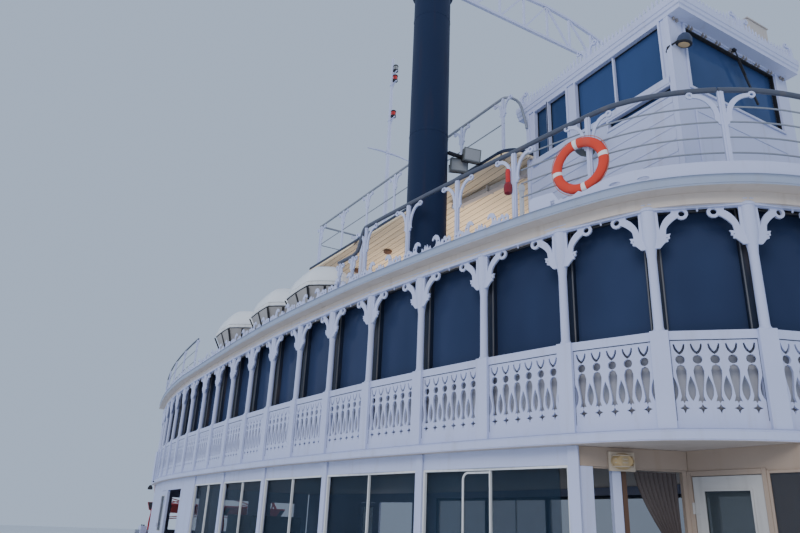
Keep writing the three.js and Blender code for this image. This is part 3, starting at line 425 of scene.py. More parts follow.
def directions(d):
    """Along the deck edge, forward on starboard, and outwards, from a unit step d to the next post."""
    return np.array((-d[0], -d[1], 0.0)), np.array((-d[1], d[0], 0.0))


def bay(index, distance=0.0, span=1):
    """Middle, direction forward on starboard, outward direction and length of a bay between two posts."""
    a, b = edge(index, distance), edge(index + span, distance)
    return (np.append((a + b) / 2, 0.0), *directions(unit(b - a)), np.linalg.norm(b - a))


def facing(index, distance=0.0):
    """Post point with the directions along and out of the deck edge there."""
    d = unit(LOOP[(index + 1) % len(LOOP)] - LOOP[(index - 1) % len(LOOP)])
    return (np.append(edge(index, distance), 0.0), *directions(d))


def station(t, distance):
    """Point on the smooth deck edge at a station, with its directions along and outward."""
    line = edge_curve(t - 0.02, t + 0.02, distance, 50)
    middle = line[len(line) // 2] if len(line) % 2 else (line[0] + line[-1]) / 2
    return (np.append(middle, 0.0), *directions(unit(line[-1] - line[0])))


def abeam(sign):
    """Directions along, up and out of a plate that faces one side of the boat."""
    return (1, 0, 0), UP, (0, sign, 0)


# Finishes


class Value:
    """A shader socket that Python arithmetic works on: each operator adds one Math node."""

    def __init__(self, finish, socket):
        self.finish, self.socket = finish, socket

    def math(self, operation, *values):
        """Math node that works the operation out."""
        return self.finish.node("ShaderNodeMath", {"operation": operation}, *values)

    def __add__(self, other):
        return self.math("ADD", self, other)

    def __sub__(self, other):
        return self.math("SUBTRACT", self, other)

    def __rsub__(self, other):
        return self.math("SUBTRACT", other, self)

    def __mul__(self, other):
        return self.math("MULTIPLY", self, other)

    def __truediv__(self, other):
        return self.math("DIVIDE", self, other)

    def __pow__(self, other):
        return self.math("POWER", self, other)

    __radd__, __rmul__ = __add__, __mul__

    def above(self, level, width=0.05):
        """0 below the level and 1 above it, with a smooth step as wide as width."""
        low, high = level - width / 2, level + width / 2
        return self.finish.node("ShaderNodeMapRange", {"interpolation_type": "SMOOTHSTEP"}, self, low, high)

    def fraction(self):
        """What is left over the whole number below."""
        return self.math("FRACT", self)

    def absolute(self):
        """The value without its sign."""
        return self.math("ABSOLUTE", self)


class Finish:
    """One procedural material on Object coordinates."""

    def __init__(self, name):
        self.material = bpy.data.materials.new(name)
        self.material.use_nodes = True
        self.tree = self.material.node_tree
        self.shader = self.tree.nodes["Principled BSDF"]
        self.place = Value(self, self.tree.nodes.new("ShaderNodeTexCoord").outputs["Object"])

    def node(self, kind, settings, *values, **named):
        """Adds a node, makes its settings first, then fills its sockets in order and by name."""
        made = self.tree.nodes.new(kind)
        for key, setting in settings.items():
            setattr(made, key, setting)
        for key, value in [*enumerate(values), *named.items()]:
            self.feed(made.inputs[key], value)
        return Value(self, made.outputs[0])

    def feed(self, socket, value):
        """Links a Value to a socket, or sets the socket to a plain value."""
        if isinstance(value, Value):
            self.tree.links.new(value.socket, socket)
        else:
            socket.default_value = value

    def set(self, **sockets):
        """Sockets of the shader by name, with _ for a space."""
        for key, value in sockets.items():
            self.feed(self.shader.inputs[key.replace("_", " ")], value)

    def axes(self):
        """Object coordinates as three Values."""
        parts = self.tree.nodes.new("ShaderNodeSeparateXYZ")
        self.feed(parts.inputs[0], self.place)
        return [Value(self, o) for o in parts.outputs]

    def noise(self, scale, detail=3.0, stretch=None):
        """Smooth noise around 0.5, its pattern squeezed along an axis where stretch is over 1."""
        where = self.place
        if stretch:
            where = self.node("ShaderNodeMapping", {}, where, Scale=stretch)
        return self.node("ShaderNodeTexNoise", {}, Vector=where, Scale=scale, Detail=detail, Roughness=0.55)

    def mix(self, a, b, factor):
        """Colour a where the factor is 0 and b where it is 1."""
        made = self.tree.nodes.new("ShaderNodeMix")
        made.data_type = "RGBA"
        for key, value in ((0, factor), (6, a), (7, b)):
            self.feed(made.inputs[key], value)
        return Value(self, made.outputs[2])

    def bump(self, height, strength=0.3, distance=0.003):
        """Relief from a height, on the shader's normal."""
        self.set(Normal=self.node("ShaderNodeBump", {}, Strength=strength, Distance=distance, Height=height))


def rgb(colour, factor=1.0):
    """Colour as red, green, blue and alpha, brightened by a factor."""
    return (*(min(1.0, c * factor) for c in colour[:3]), 1.0)


def weathered_paint(name, colour, stain=(0.32, 0.22, 0.13), gloss=0.38, dirt=0.35, streaks=0.35):
    """Brushed marine paint: slow tone changes, thin run-down streaks, chips and a faint brush grain."""
    f = Finish(name)
    tone = f.noise(0.9, 4)
    streak = f.noise(5.0, 5, stretch=(1.4, 1.4, 0.12)).above(0.62, 0.16)
    speck = f.noise(60.0, 2).above(0.73, 0.05)
    base = f.mix(rgb(colour, 0.90), rgb(colour, 1.06), tone)
    base = f.mix(base, rgb(stain), streak * streaks * 0.35)
    base = f.mix(base, rgb(stain, 0.7), speck * (0.5 * dirt))
    grain = f.noise(24.0, 6, stretch=(1, 1, 0.3))
    f.set(Base_Color=base, Roughness=gloss + 0.18 * tone + 0.15 * streak)
    f.bump(grain + speck * -0.6, 0.16, 0.002)
    return f


def layered_paint(name, colour, under, level):
    """Paint of one colour above a level and of another on the faces below it, such as a cream soffit."""
    f = Finish(name)
    _, _, z = f.axes()
    tone = f.noise(1.1, 4)
    streak = f.noise(4.0, 5, stretch=(1.2, 1.2, 0.2)).above(0.6, 0.2)
    top = f.mix(rgb(colour, 0.92), rgb(colour, 1.05), tone)
    low = f.mix(rgb(under, 0.86), rgb(under, 1.05), tone)
    base = f.mix(low, top, z.above(level, 0.002))
    base = f.mix(base, rgb((0.30, 0.21, 0.13)), streak * 0.14)
    f.set(Base_Color=base, Roughness=0.42 + 0.2 * tone)
    f.bump(f.noise(22.0, 5), 0.14, 0.002)
    return f


def planked(name, colour, width, along_x=True, gloss=0.45):
    """Boards side by side: each has its own tone by its number, grain along it and dark grooves beside it."""
    f = Finish(name)
    x, y, _ = f.axes()
    cross = (y if along_x else x) / width
    number = cross.math("FLOOR", cross)
    tone = f.node("ShaderNodeTexWhiteNoise", {"noise_dimensions": "1D"}, W=number)
    groove = 1 - (cross.fraction() - 0.5).absolute().above(0.46, 0.05)
    grain = f.noise(9.0, 6, stretch=(0.15, 2.2, 1) if along_x else (2.2, 0.15, 1))
    base = f.mix(rgb(colour, 0.72), rgb(colour, 1.15), 0.45 * tone + 0.55 * grain)
    base = f.mix(rgb((0.09, 0.055, 0.03)), base, groove)
    f.set(Base_Color=base, Roughness=gloss + 0.2 * grain)
    f.bump(groove + grain * 0.15, 0.5, 0.004)
    return f


def glass_pane(name, colour, deep, alpha=1.0):
    """Tinted pane: a dark tint with slow clouds of a lighter colour, which are painted reflections, and faint
    ripples in the float glass.
    """
    f = Finish(name)
    # Slow clouds that lift the dark tint to the lighter colour: painted reflections
    painted_reflection = f.noise(0.55, 3, stretch=(1, 1, 0.5))
    ripple = f.noise(1.6, 2, stretch=(1, 1, 2.5))
    f.set(Base_Color=f.mix(rgb(deep), rgb(colour), painted_reflection), Roughness=0.04 + 0.05 * painted_reflection,
          IOR=1.16, Specular_IOR_Level=0.5, Alpha=alpha)
    f.bump(ripple, 0.06, 0.02)
    return f


def metal(name, colour, rough=0.4, metallic=1.0, rust=0.3):
    """Metal with soft smears in its gloss and rust blooming in small patches."""
    f = Finish(name)
    smear = f.noise(3.0, 5)
    patch = f.noise(7.0, 6).above(0.66, 0.1)
    base = f.mix(rgb(colour, 0.85), rgb(colour, 1.1), smear)
    base = f.mix(base, rgb((0.24, 0.10, 0.045)), patch * rust)
    f.set(Base_Color=base, Roughness=rough + 0.25 * smear + 0.2 * patch,
          Metallic=metallic - metallic * 0.8 * patch)
    f.bump(f.noise(70.0, 4) + patch * 0.5, 0.12, 0.001)
    return f


def moulded(name, colour, gloss=0.35, grime=0.3, coat=0.0):
    """Moulded shell or enamel: even colour with rain dirt, fine orange-peel bump."""
    f = Finish(name)
    tone = f.noise(1.6, 4)
    run = f.noise(6.0, 5, stretch=(1.5, 1.5, 0.15)).above(0.6, 0.2)
    base = f.mix(rgb(colour, 0.92), rgb(colour, 1.04), tone)
    base = f.mix(base, rgb((0.22, 0.19, 0.15)), run * grime * 0.5)
    f.set(Base_Color=base, Roughness=gloss + 0.15 * tone, Coat_Weight=coat)
    f.bump(f.noise(110.0, 2), 0.08, 0.001)
    return f


# Settings


def length(label, text, default, low=0.001):
    """Property that holds a length."""
    return FloatProperty(name=label, description=text, default=default, min=low, unit="LENGTH")


def colour(label, text, default):
    """Property that holds a colour."""
    return FloatVectorProperty(
        name=label, description=text, default=default, size=3, min=0, max=1, subtype="COLOR")


class BoatSizes(bpy.types.PropertyGroup):
    """Sizes that a user would change."""

    balustrade: length("Balustrade", "Height of the sawn balustrade above the saloon deck", 1.05)
    column: length("Column", "Width of a colonnade column", 0.108)
    pilaster: length("Pilaster", "Width of the board in front of a column's foot", 0.19)
    rail_tube: length("Rail tube", "Radius of the upper rail's top tube", 0.034)
    rod: length("Rod", "Radius of the rods below the top tube", 0.0105)
    buoy: length("Lifebuoy", "Radius of a lifebuoy to the middle of its ring", 0.32)
    side_motifs: IntProperty(name="Side motifs", description="Sawn motifs in a side bay", default=6, min=1)
    bow_motifs: IntProperty(name="Bow motifs", description="Sawn motifs in a bow bay", default=5, min=1)


class BoatColours(bpy.types.PropertyGroup):
    """Colours that a user would change."""

    white: colour("White", "Paint of walls, columns and fretwork", (0.52, 0.56, 0.77))
    cream: colour("Cream", "Paint of soffits and headers", (0.64, 0.56, 0.50))
    fascia: colour("Fascia", "Paint of the upper deck's edge", (0.33, 0.38, 0.50))
    stack: colour("Stack", "Paint of the stacks", (0.012, 0.021, 0.054))
    pane: colour("Pane", "Tint of the saloon panes", (0.052, 0.076, 0.158))
    ceiling: colour("Ceiling", "Planks under the canopy", (0.86, 0.70, 0.47))
    wheel: colour("Wheel", "Paint of the paddle wheel", (0.40, 0.03, 0.03))
    buoy: colour("Buoy", "Lifebuoy shell", (0.66, 0.052, 0.022))


# Operators


class BOAT_OT_finishes(bpy.types.Operator):
    """Makes every finish and paints the solids that stay in view"""

    bl_idname = "boat.finishes"
    bl_label = "Finishes"

    def execute(self, context):
        c = context.scene.boat_colours
        self.paints(c)
        glass_pane("saloon_pane", c.pane, (0.010, 0.016, 0.040))
        glass_pane("house_pane", (0.03, 0.06, 0.10), (0.006, 0.012, 0.022), alpha=0.42)
        # Pilothouse pane: a dark tint lifted to a bright blue, which is a painted sky reflection
        glass_pane("pilot_pane", (0.05, 0.10, 0.26), (0.02, 0.035, 0.06))
        glass_pane("door_pane", (0.10, 0.12, 0.13), (0.03, 0.04, 0.05), alpha=0.6)
        metal("galvanised", (0.50, 0.52, 0.55), 0.38, 0.9, 0.25)
        metal("dark_iron", (0.045, 0.048, 0.055), 0.45, 0.6, 0.4)
        metal("lamp_grey", (0.17, 0.18, 0.18), 0.5, 0.3, 0.3)
        self.mouldings(c)
        planked("ceiling_planks", c.ceiling, 0.145)
        self.canopy_layers(planked("canopy_finish", c.ceiling, 0.145), c)
        painted = self.painted()
        for node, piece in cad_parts.items():
            piece.data.materials.clear()
            piece.data.materials.append(bpy.data.materials[painted.get(node, "white_enamel")])
        return {"FINISHED"}

    def paints(self, c):
        """Brushed paints of the hull, the decks, the walls and the trim."""
        weathered_paint("white_enamel", c.white)
        weathered_paint("cream_enamel", c.cream, dirt=0.5, streaks=0.6)
        weathered_paint("hull_enamel", (0.012, 0.022, 0.045), dirt=0.5, gloss=0.3)
        weathered_paint("deck_enamel", (0.20, 0.24, 0.30), dirt=0.6, gloss=0.6, streaks=0.1)
        stack = weathered_paint(
            "stack_enamel", c.stack, stain=(0.10, 0.06, 0.04), dirt=0.2, gloss=0.42, streaks=0.2)
        stack.set(Specular_IOR_Level=0.18)
        weathered_paint("wheel_enamel", c.wheel, stain=(0.06, 0.03, 0.02), dirt=0.8, streaks=0.8)
        weathered_paint("rail_enamel", (0.075, 0.085, 0.12), dirt=0.5, gloss=0.3)
        weathered_paint("rod_enamel", (0.24, 0.26, 0.31), dirt=0.5, gloss=0.35)
        weathered_paint("dark_trim", (0.012, 0.02, 0.05), dirt=0.2, gloss=0.3)
        weathered_paint("frame_beige", (0.13, 0.13, 0.14), dirt=0.4, gloss=0.4)
        weathered_paint("dentil_tan", (0.33, 0.29, 0.26), dirt=0.5, gloss=0.5)
        weathered_paint("vent_tan", (0.50, 0.46, 0.43), dirt=0.5, gloss=0.5)
        # House front and its cream trim: cream darkened to a warm brown, painted shade of the front under the
        # saloon deck
        weathered_paint("cream_painted_shade", (0.40, 0.305, 0.235), dirt=0.4)
        weathered_paint("aged_white", (0.60, 0.50, 0.38), dirt=0.6)
        weathered_paint("dark_wood", (0.11, 0.055, 0.03), dirt=0.3)
        # Saloon walls: near black above the sill, where the panes run from column to column, and below it a
        # mid grey, which is painted shade on the wall behind the balustrade
        layered_paint("saloon_shade", (0.010, 0.016, 0.035), (0.40, 0.40, 0.44), SALOON_SILL)
        layered_paint("deck_2_enamel", c.white, c.cream, DECK_2_UNDER + 0.003)
        layered_paint("deck_3_enamel", c.fascia, c.cream, DECK_3_UNDER + 0.003)

    def mouldings(self, c):
        """Moulded shells, lenses, rubber and cloth."""
        moulded("raft_shell", (0.38, 0.39, 0.47), 0.34)
        moulded("raft_belly", (0.36, 0.34, 0.33), 0.5)
        moulded("buoy_orange", c.buoy, 0.42, 0.25)
        moulded("buoy_white", (0.78, 0.78, 0.78), 0.45, 0.4)
        moulded("buoy_rope", (0.50, 0.20, 0.12), 0.7, 0.4)
        moulded("float_red", (0.22, 0.012, 0.02), 0.35, 0.3)
        moulded("lamp_blue", (0.035, 0.05, 0.10), 0.35, 0.3)
        moulded("red_lens", (0.55, 0.02, 0.015), 0.2, 0.1, coat=0.4)
        moulded("clear_lens", (0.30, 0.31, 0.32), 0.15, 0.1, coat=0.4)
        moulded("lamp_brown", (0.16, 0.08, 0.045), 0.4)
        moulded("light_cover", (0.60, 0.42, 0.20), 0.4, 0.8)
        moulded("black_rubber", (0.012, 0.012, 0.014), 0.55, 0.2)
        moulded("curtain_cloth", (0.13, 0.105, 0.10), 0.85, 0.2)
        moulded("door_paint", (0.52, 0.50, 0.48), 0.4, 0.4)

    def canopy_layers(self, f, c):
        """Planks on the canopy's underside, a navy edge above it, pale roof, white on the posts below."""
        _, _, z = f.axes()
        planks = f.shader.inputs["Base Color"].links[0].from_socket
        shown = f.mix(rgb(c.white), Value(f, planks), z.above(CANOPY_UNDER - 0.004, 0.002))
        shown = f.mix(shown, rgb((0.02, 0.05, 0.16)), z.above(CANOPY_UNDER + 0.003, 0.002))
        shown = f.mix(shown, rgb((0.45, 0.48, 0.54)), z.above(CANOPY_TOP - 0.003, 0.002))
        f.set(Base_Color=shown)

    def painted(self):
        """Finish of each node that isn't plain white."""
        nodes = {
            "hull": "hull_enamel", "main_deck": "deck_enamel", "engine_block": "dark_iron",
            "canopy": "canopy_finish", "wheel_shaft": "galvanised", "mast_tabernacle": "galvanised",
            "paddle_wheel": "wheel_enamel", "house_front": "cream_painted_shade", "pilothouse_glass": "pilot_pane",
            "saloon_glass_bow": "saloon_pane", "saloon_wall_bow": "saloon_shade",
        }
        for side, _ in SIDES:
            nodes[f"rudder_{side}"] = "dark_iron"
            nodes[f"foredeck_door_{side}"] = "door_paint"
            nodes[f"house_glass_{side}"] = "house_pane"
            nodes[f"saloon_glass_fore_{side}"] = nodes[f"saloon_glass_aft_{side}"] = "saloon_pane"
            nodes[f"saloon_wall_{side}"] = "saloon_shade"
        return nodes


class BOAT_OT_decks(bpy.types.Operator):
    """Saloon deck and upper deck with moulded edges that run smoothly round the bow"""

    bl_idname = "boat.decks"
    bl_label = "Decks"

    def plate(self, distance, profile):
        """Deck plate round the deck edge; the edge runs straight where it reaches the greatest beam."""
        ring = deck_ring(distance)
        ring[:, 1] = ring[:, 1].clip(-HALF_BEAM, HALF_BEAM)
        return slab(ring, profile)

    def execute(self, context):
        top, low = DECK_3, DECK_3_UNDER
        upper = self.plate(0.235, [
            (-0.022, top), (-0.006, top - 0.004), (0, top - 0.014), (0.0, top - 0.03), (-0.010, top - 0.036),
            (-0.010, low + 0.03), (-0.002, low + 0.022), (-0.002, low + 0.003), (-0.014, low)])
        build("upper_deck", [(upper, "deck_3_enamel")], replaced=("deck_3",))
        top, low = DECK_2, DECK_2_UNDER
        saloon = self.plate(0.08, [
            (-0.014, top), (-0.002, top - 0.006), (0, top - 0.022), (-0.012, top - 0.03),
            (-0.012, low + 0.016), (-0.004, low + 0.006), (-0.012, low)])
        build("saloon_deck", [(saloon, "deck_2_enamel")], replaced=("deck_2",))
        top = MAIN_DECK
        strip = np.array([(0.001, top - 0.028), (0.007, top - 0.034), (0.0085, top - 0.05),
                          (0.007, top - 0.066), (0.001, top - 0.072)])
        side = np.array([edge(i, 0.15) for i in range(STERN, CORNER - 1, -1)])
        fore = [(11.4, -2.85), (12.6, -2.56), (13.8, -1.95), (14.65, -1.15), (15.06, -0.38)]
        starboard = np.concatenate((side, fore))
        parts = [(sweep(starboard * (1, -sign), strip * (sign, 1)), "black_rubber") for sign in SIGNS]
        build("guard_strip", parts)
        return {"FINISHED"}


MOTIF_PITCH = 0.172


def half_and_mirror(points):
    """Outline that runs along the right half, from one end of the middle line to the other, closed by its
    mirror image."""
    right = np.asarray(points, float)
    left = right[::-1] * (-1, 1)
    keep = np.abs(left[:, 0]) > 1e-6
    return np.concatenate((right, left[keep]))


CIRCLE_HOLE = circle(0, 0.7355, 0.0490, 12)
DROP_HOLE = half_and_mirror([
    (0, 0.682), (0.036, 0.664), (0.053, 0.615), (0.050, 0.56), (0.039, 0.48), (0.028, 0.41), (0.021, 0.345),
    (0.038, 0.288), (0.014, 0.296), (0, 0.268)])
STAR_HOLE = half_and_mirror([(0, 0.264), (0.015, 0.236), (0.048, 0.220), (0.015, 0.204), (0, 0.164)])
LEAF_HOLE = half_and_mirror([
    (0, 0.562), (0.020, 0.51), (0.035, 0.46), (0.040, 0.41), (0.034, 0.36), (0.018, 0.32), (0, 0.294)])
HORN_HOLE = half_and_mirror([
    (0, 0.822), (0.018, 0.840), (0.032, 0.866), (0.046, 0.910), (0.060, 0.904), (0.056, 0.862),
    (0.042, 0.828), (0.022, 0.804), (0, 0.789)])


def sawn_panel(width, count, pitch):
    """Board with its row of sawn openings: horns, disc, drop and star in each motif, leaves between."""
    holes = []
    for i in range(count):
        at = (i - (count - 1) / 2) * pitch
        holes += [hole + (at, 0) for hole in (CIRCLE_HOLE, DROP_HOLE, STAR_HOLE, HORN_HOLE)]
    for i in range(count + 1):
        holes.append(LEAF_HOLE + ((i - count / 2) * pitch, 0))
    outline = [(-width / 2, 0.05), (width / 2, 0.05), (width / 2, 0.97), (-width / 2, 0.97)]
    return cut_plate(outline, holes, 0.03)


def scroll_bracket():
    """Sawn bracket beside a column: a bar under the header, an arm curving down from a ring to the
    column, its lower edge scalloped, and a leafy spur. x runs off the column, y up to the header."""
    x, y = 0.345, -0.372
    turn = np.radians(np.linspace(95, 172, 16))
    scallop = 1 - 0.055 * np.abs(np.sin(3.2 * (turn - turn[0])))
    under = np.stack((x + 0.185 * scallop * np.cos(turn), y + 0.255 * scallop * np.sin(turn)), -1)
    spur = [(0.168, -0.325), (0.222, -0.318), (0.205, -0.345), (0.212, -0.372), (0.186, -0.386),
            (0.190, -0.412), (0.160, -0.420), (0.128, -0.455), (0.098, -0.490), (0.04, -0.492)]
    ring = circle(0.36, -0.078, 0.072, 9, 100, -130)
    outline = np.concatenate(([(0.04, 0.0), (0.34, 0.0)], ring, under, spur))
    arm = np.radians(np.linspace(112, 163, 8))
    inner = np.stack((x + 0.253 * np.cos(arm), y + 0.335 * np.sin(arm)), -1)
    spandrel = np.concatenate(([(0.098, -0.036), (0.245, -0.036)], inner))
    eye = circle(0.36, -0.078, 0.036, 10)
    nail = circle(0.178, -0.366, 0.008, 5)
    return cut_plate(outline, [spandrel, eye, nail], 0.028)


class BOAT_OT_colonnade(bpy.types.Operator):
    """Columns with sawn brackets, header and sawn balustrade round the saloon deck"""

    bl_idname = "boat.colonnade"
    bl_label = "Colonnade"

    def column(self, s):
        """Turned column: torus foot, slightly tapered shaft, astragal and a broad head under the header."""
        r = s.column / 2
        z0, z1 = DECK_2 + s.balustrade, HEADER_UNDER
        return lathe([
            (r + 0.012, z0 - 0.01), (r + 0.014, z0 + 0.012), (r + 0.004, z0 + 0.028), (r, z0 + 0.05),
            (r * 0.96, z1 - 0.60), (r + 0.004, z1 - 0.53), (r + 0.012, z1 - 0.47), (r + 0.030, z1 - 0.36),
            (r + 0.033, z1 - 0.10), (r + 0.033, z1 - 0.03), (r + 0.044, z1 - 0.022), (r + 0.044, z1 + 0.004),
            (r + 0.026, z1 + 0.022)], 16)

    def balustrade(self, long, count, s):
        """Pierced panel with its top board and its foot board, about the middle of a bay."""
        clear, pitch = long - s.pilaster + 0.06, (long - s.pilaster) / count
        return [
            sawn_panel(clear, count, pitch),
            box((-clear / 2, 0.952, -0.026), (clear / 2, s.balustrade, 0.030)),
            box((-clear / 2, GAP, -0.022), (clear / 2, 0.088, 0.024)),
        ]

    def boards(self, index, count, s):
        """Balustrade of one bay, with the header bar, its fillet and the drop in its middle."""
        middle, u, w, long = bay(index)
        bars = [box((-long / 2, -0.026, 0.02), (long / 2, 0.012, 0.078)),
                box((-long / 2, 0.048, 0.06), (long / 2, 0.058, 0.079))]
        drop = lathe([(0.001, -0.050), (0.014, -0.034), (0.008, -0.020), (0.022, -0.012), (0.022, 0.0)], 8)
        shapes = placed(self.balustrade(long, count, s), middle + (0, 0, DECK_2), u, UP, w)
        shapes += placed(bars, middle + (0, 0, HEADER_UNDER), u, UP, w)
        shapes.append(place(drop, middle + (0, 0, HEADER_UNDER - 0.02) + w * 0.05, u, w, UP))
        return shapes

    def pilaster(self, point, u, w, s):
        """Board in front of a column's foot, and the column."""
        half = s.pilaster / 2
        board = box((-half, GAP, -0.065), (half, s.balustrade, 0.062))
        return [place(board, point + (0, 0, DECK_2), u, UP, w), place(self.column(s), point, u, w, UP)]

    def brackets(self, places, u, w):
        """A sawn bracket under the header at each place."""
        down = np.array(places, float)
        down[:, 2] = HEADER_UNDER
        return repeat(scroll_bracket(), down, u, UP, w)

    def row(self, name, posts, bays, count, nodes, s):
        """One run of bays with its posts, a bracket on both sides of each column, and thin dark strips along
        the top and the sides of each panel."""
        shapes, dark_strips, at, along, out = [], [], [], [], []
        for i in bays:
            shapes += self.boards(i, count, s)
            middle, u, w, long = bay(i)
            half = (long - s.pilaster) / 2
            panel_strips = [box((-half, 0.944, 0.0152), (half, 0.951, 0.0175))]
            panel_strips += [box((x - 0.003, 0.09, 0.0152), (x + 0.003, 0.944, 0.0175)) for x in (-half, half)]
            dark_strips += placed(panel_strips, middle + (0, 0, DECK_2), u, UP, w)
            at += [(*edge(i, 0), 0), (*edge(i + 1, 0), 0)]
            along += [-u, u]
            out += [w, w]
        for i in posts:
            shapes += self.pilaster(*facing(i), s)
        shapes.append(self.brackets(np.array(at) + np.array(out) * 0.035, np.array(along), np.array(out)))
        build(name, [(shapes, "white_enamel"), (dark_strips, "black_rubber")], replaced=nodes)

    def execute(self, context):
        s = context.scene.boat_sizes
        last = len(LOOP) - 1
        for side, bays in (("starboard", range(CORNER, STERN)), ("port", range(last - STERN, last - CORNER))):
            nodes = (f"colonnade_fore_{side}", f"colonnade_aft_{side}")
            self.row(f"colonnade_fret_{side}", range(bays[0], bays[-1] + 2), bays, s.side_motifs, nodes, s)
        bays = range(-1 - CORNER, CORNER)
        self.row("colonnade_fret_bow", bays[1:], bays, s.bow_motifs, ("colonnade_bow",), s)
        self.stern(s)
        low, high = HEADER_UNDER, DECK_3_UNDER
        header = sweep(deck_ring(0.0), [
            (0.070, low), (0.070, low + 0.086), (0.078, low + 0.092), (0.078, high - 0.022),
            (0.092, high - 0.014), (0.092, high - 0.001), (-0.070, high - 0.001), (-0.070, low)], closed=True)
        build("header_beam", [(header, "cream_enamel")])
        return {"FINISHED"}

    def stern(self, s):
        """Balustrade across the stern in three bays between two more columns."""
        x, side = POSTS[STERN]
        stops = [-side, -1.03, 1.03, side]
        u, w = np.array((0.0, -1.0, 0.0)), np.array((-1.0, 0.0, 0.0))
        shapes, at, along = [], [], []
        for a, b in zip(stops, stops[1:]):
            count = round((b - a - s.pilaster) / MOTIF_PITCH)
            middle = (x, (a + b) / 2, DECK_2)
            shapes += placed(self.balustrade(b - a, count, s), middle, u, UP, w)
            at += [(x - 0.035, a, 0), (x - 0.035, b, 0)]
            along += [(0, 1, 0), (0, -1, 0)]
        for y in stops[1:3]:
            shapes += self.pilaster(np.array((x, y, 0)), u, w, s)
        shapes.append(self.brackets(at, along, w))
        build("colonnade_fret_stern", [(shapes, "white_enamel")], replaced=("colonnade_stern",))


def frame_bars(half, low, high, width, depth, out):
    """Four bars round an opening in x (half each way) and y (low to high), from out to out + depth in z."""
    return merge([
        box((-half - width, low - width, out), (-half, high + width, out + depth)),
        box((half, low - width, out), (half + width, high + width, out + depth)),
        box((-half, low - width, out), (half, low, out + depth)),
        box((-half, high, out), (half, high + width, out + depth)),
    ])


def wing(sign):
    """Outer end of the house front's wing on one side, with its directions inwards along it and out of it."""
    return [np.array((x, -sign * y, 0.0)) for x, y in WING]


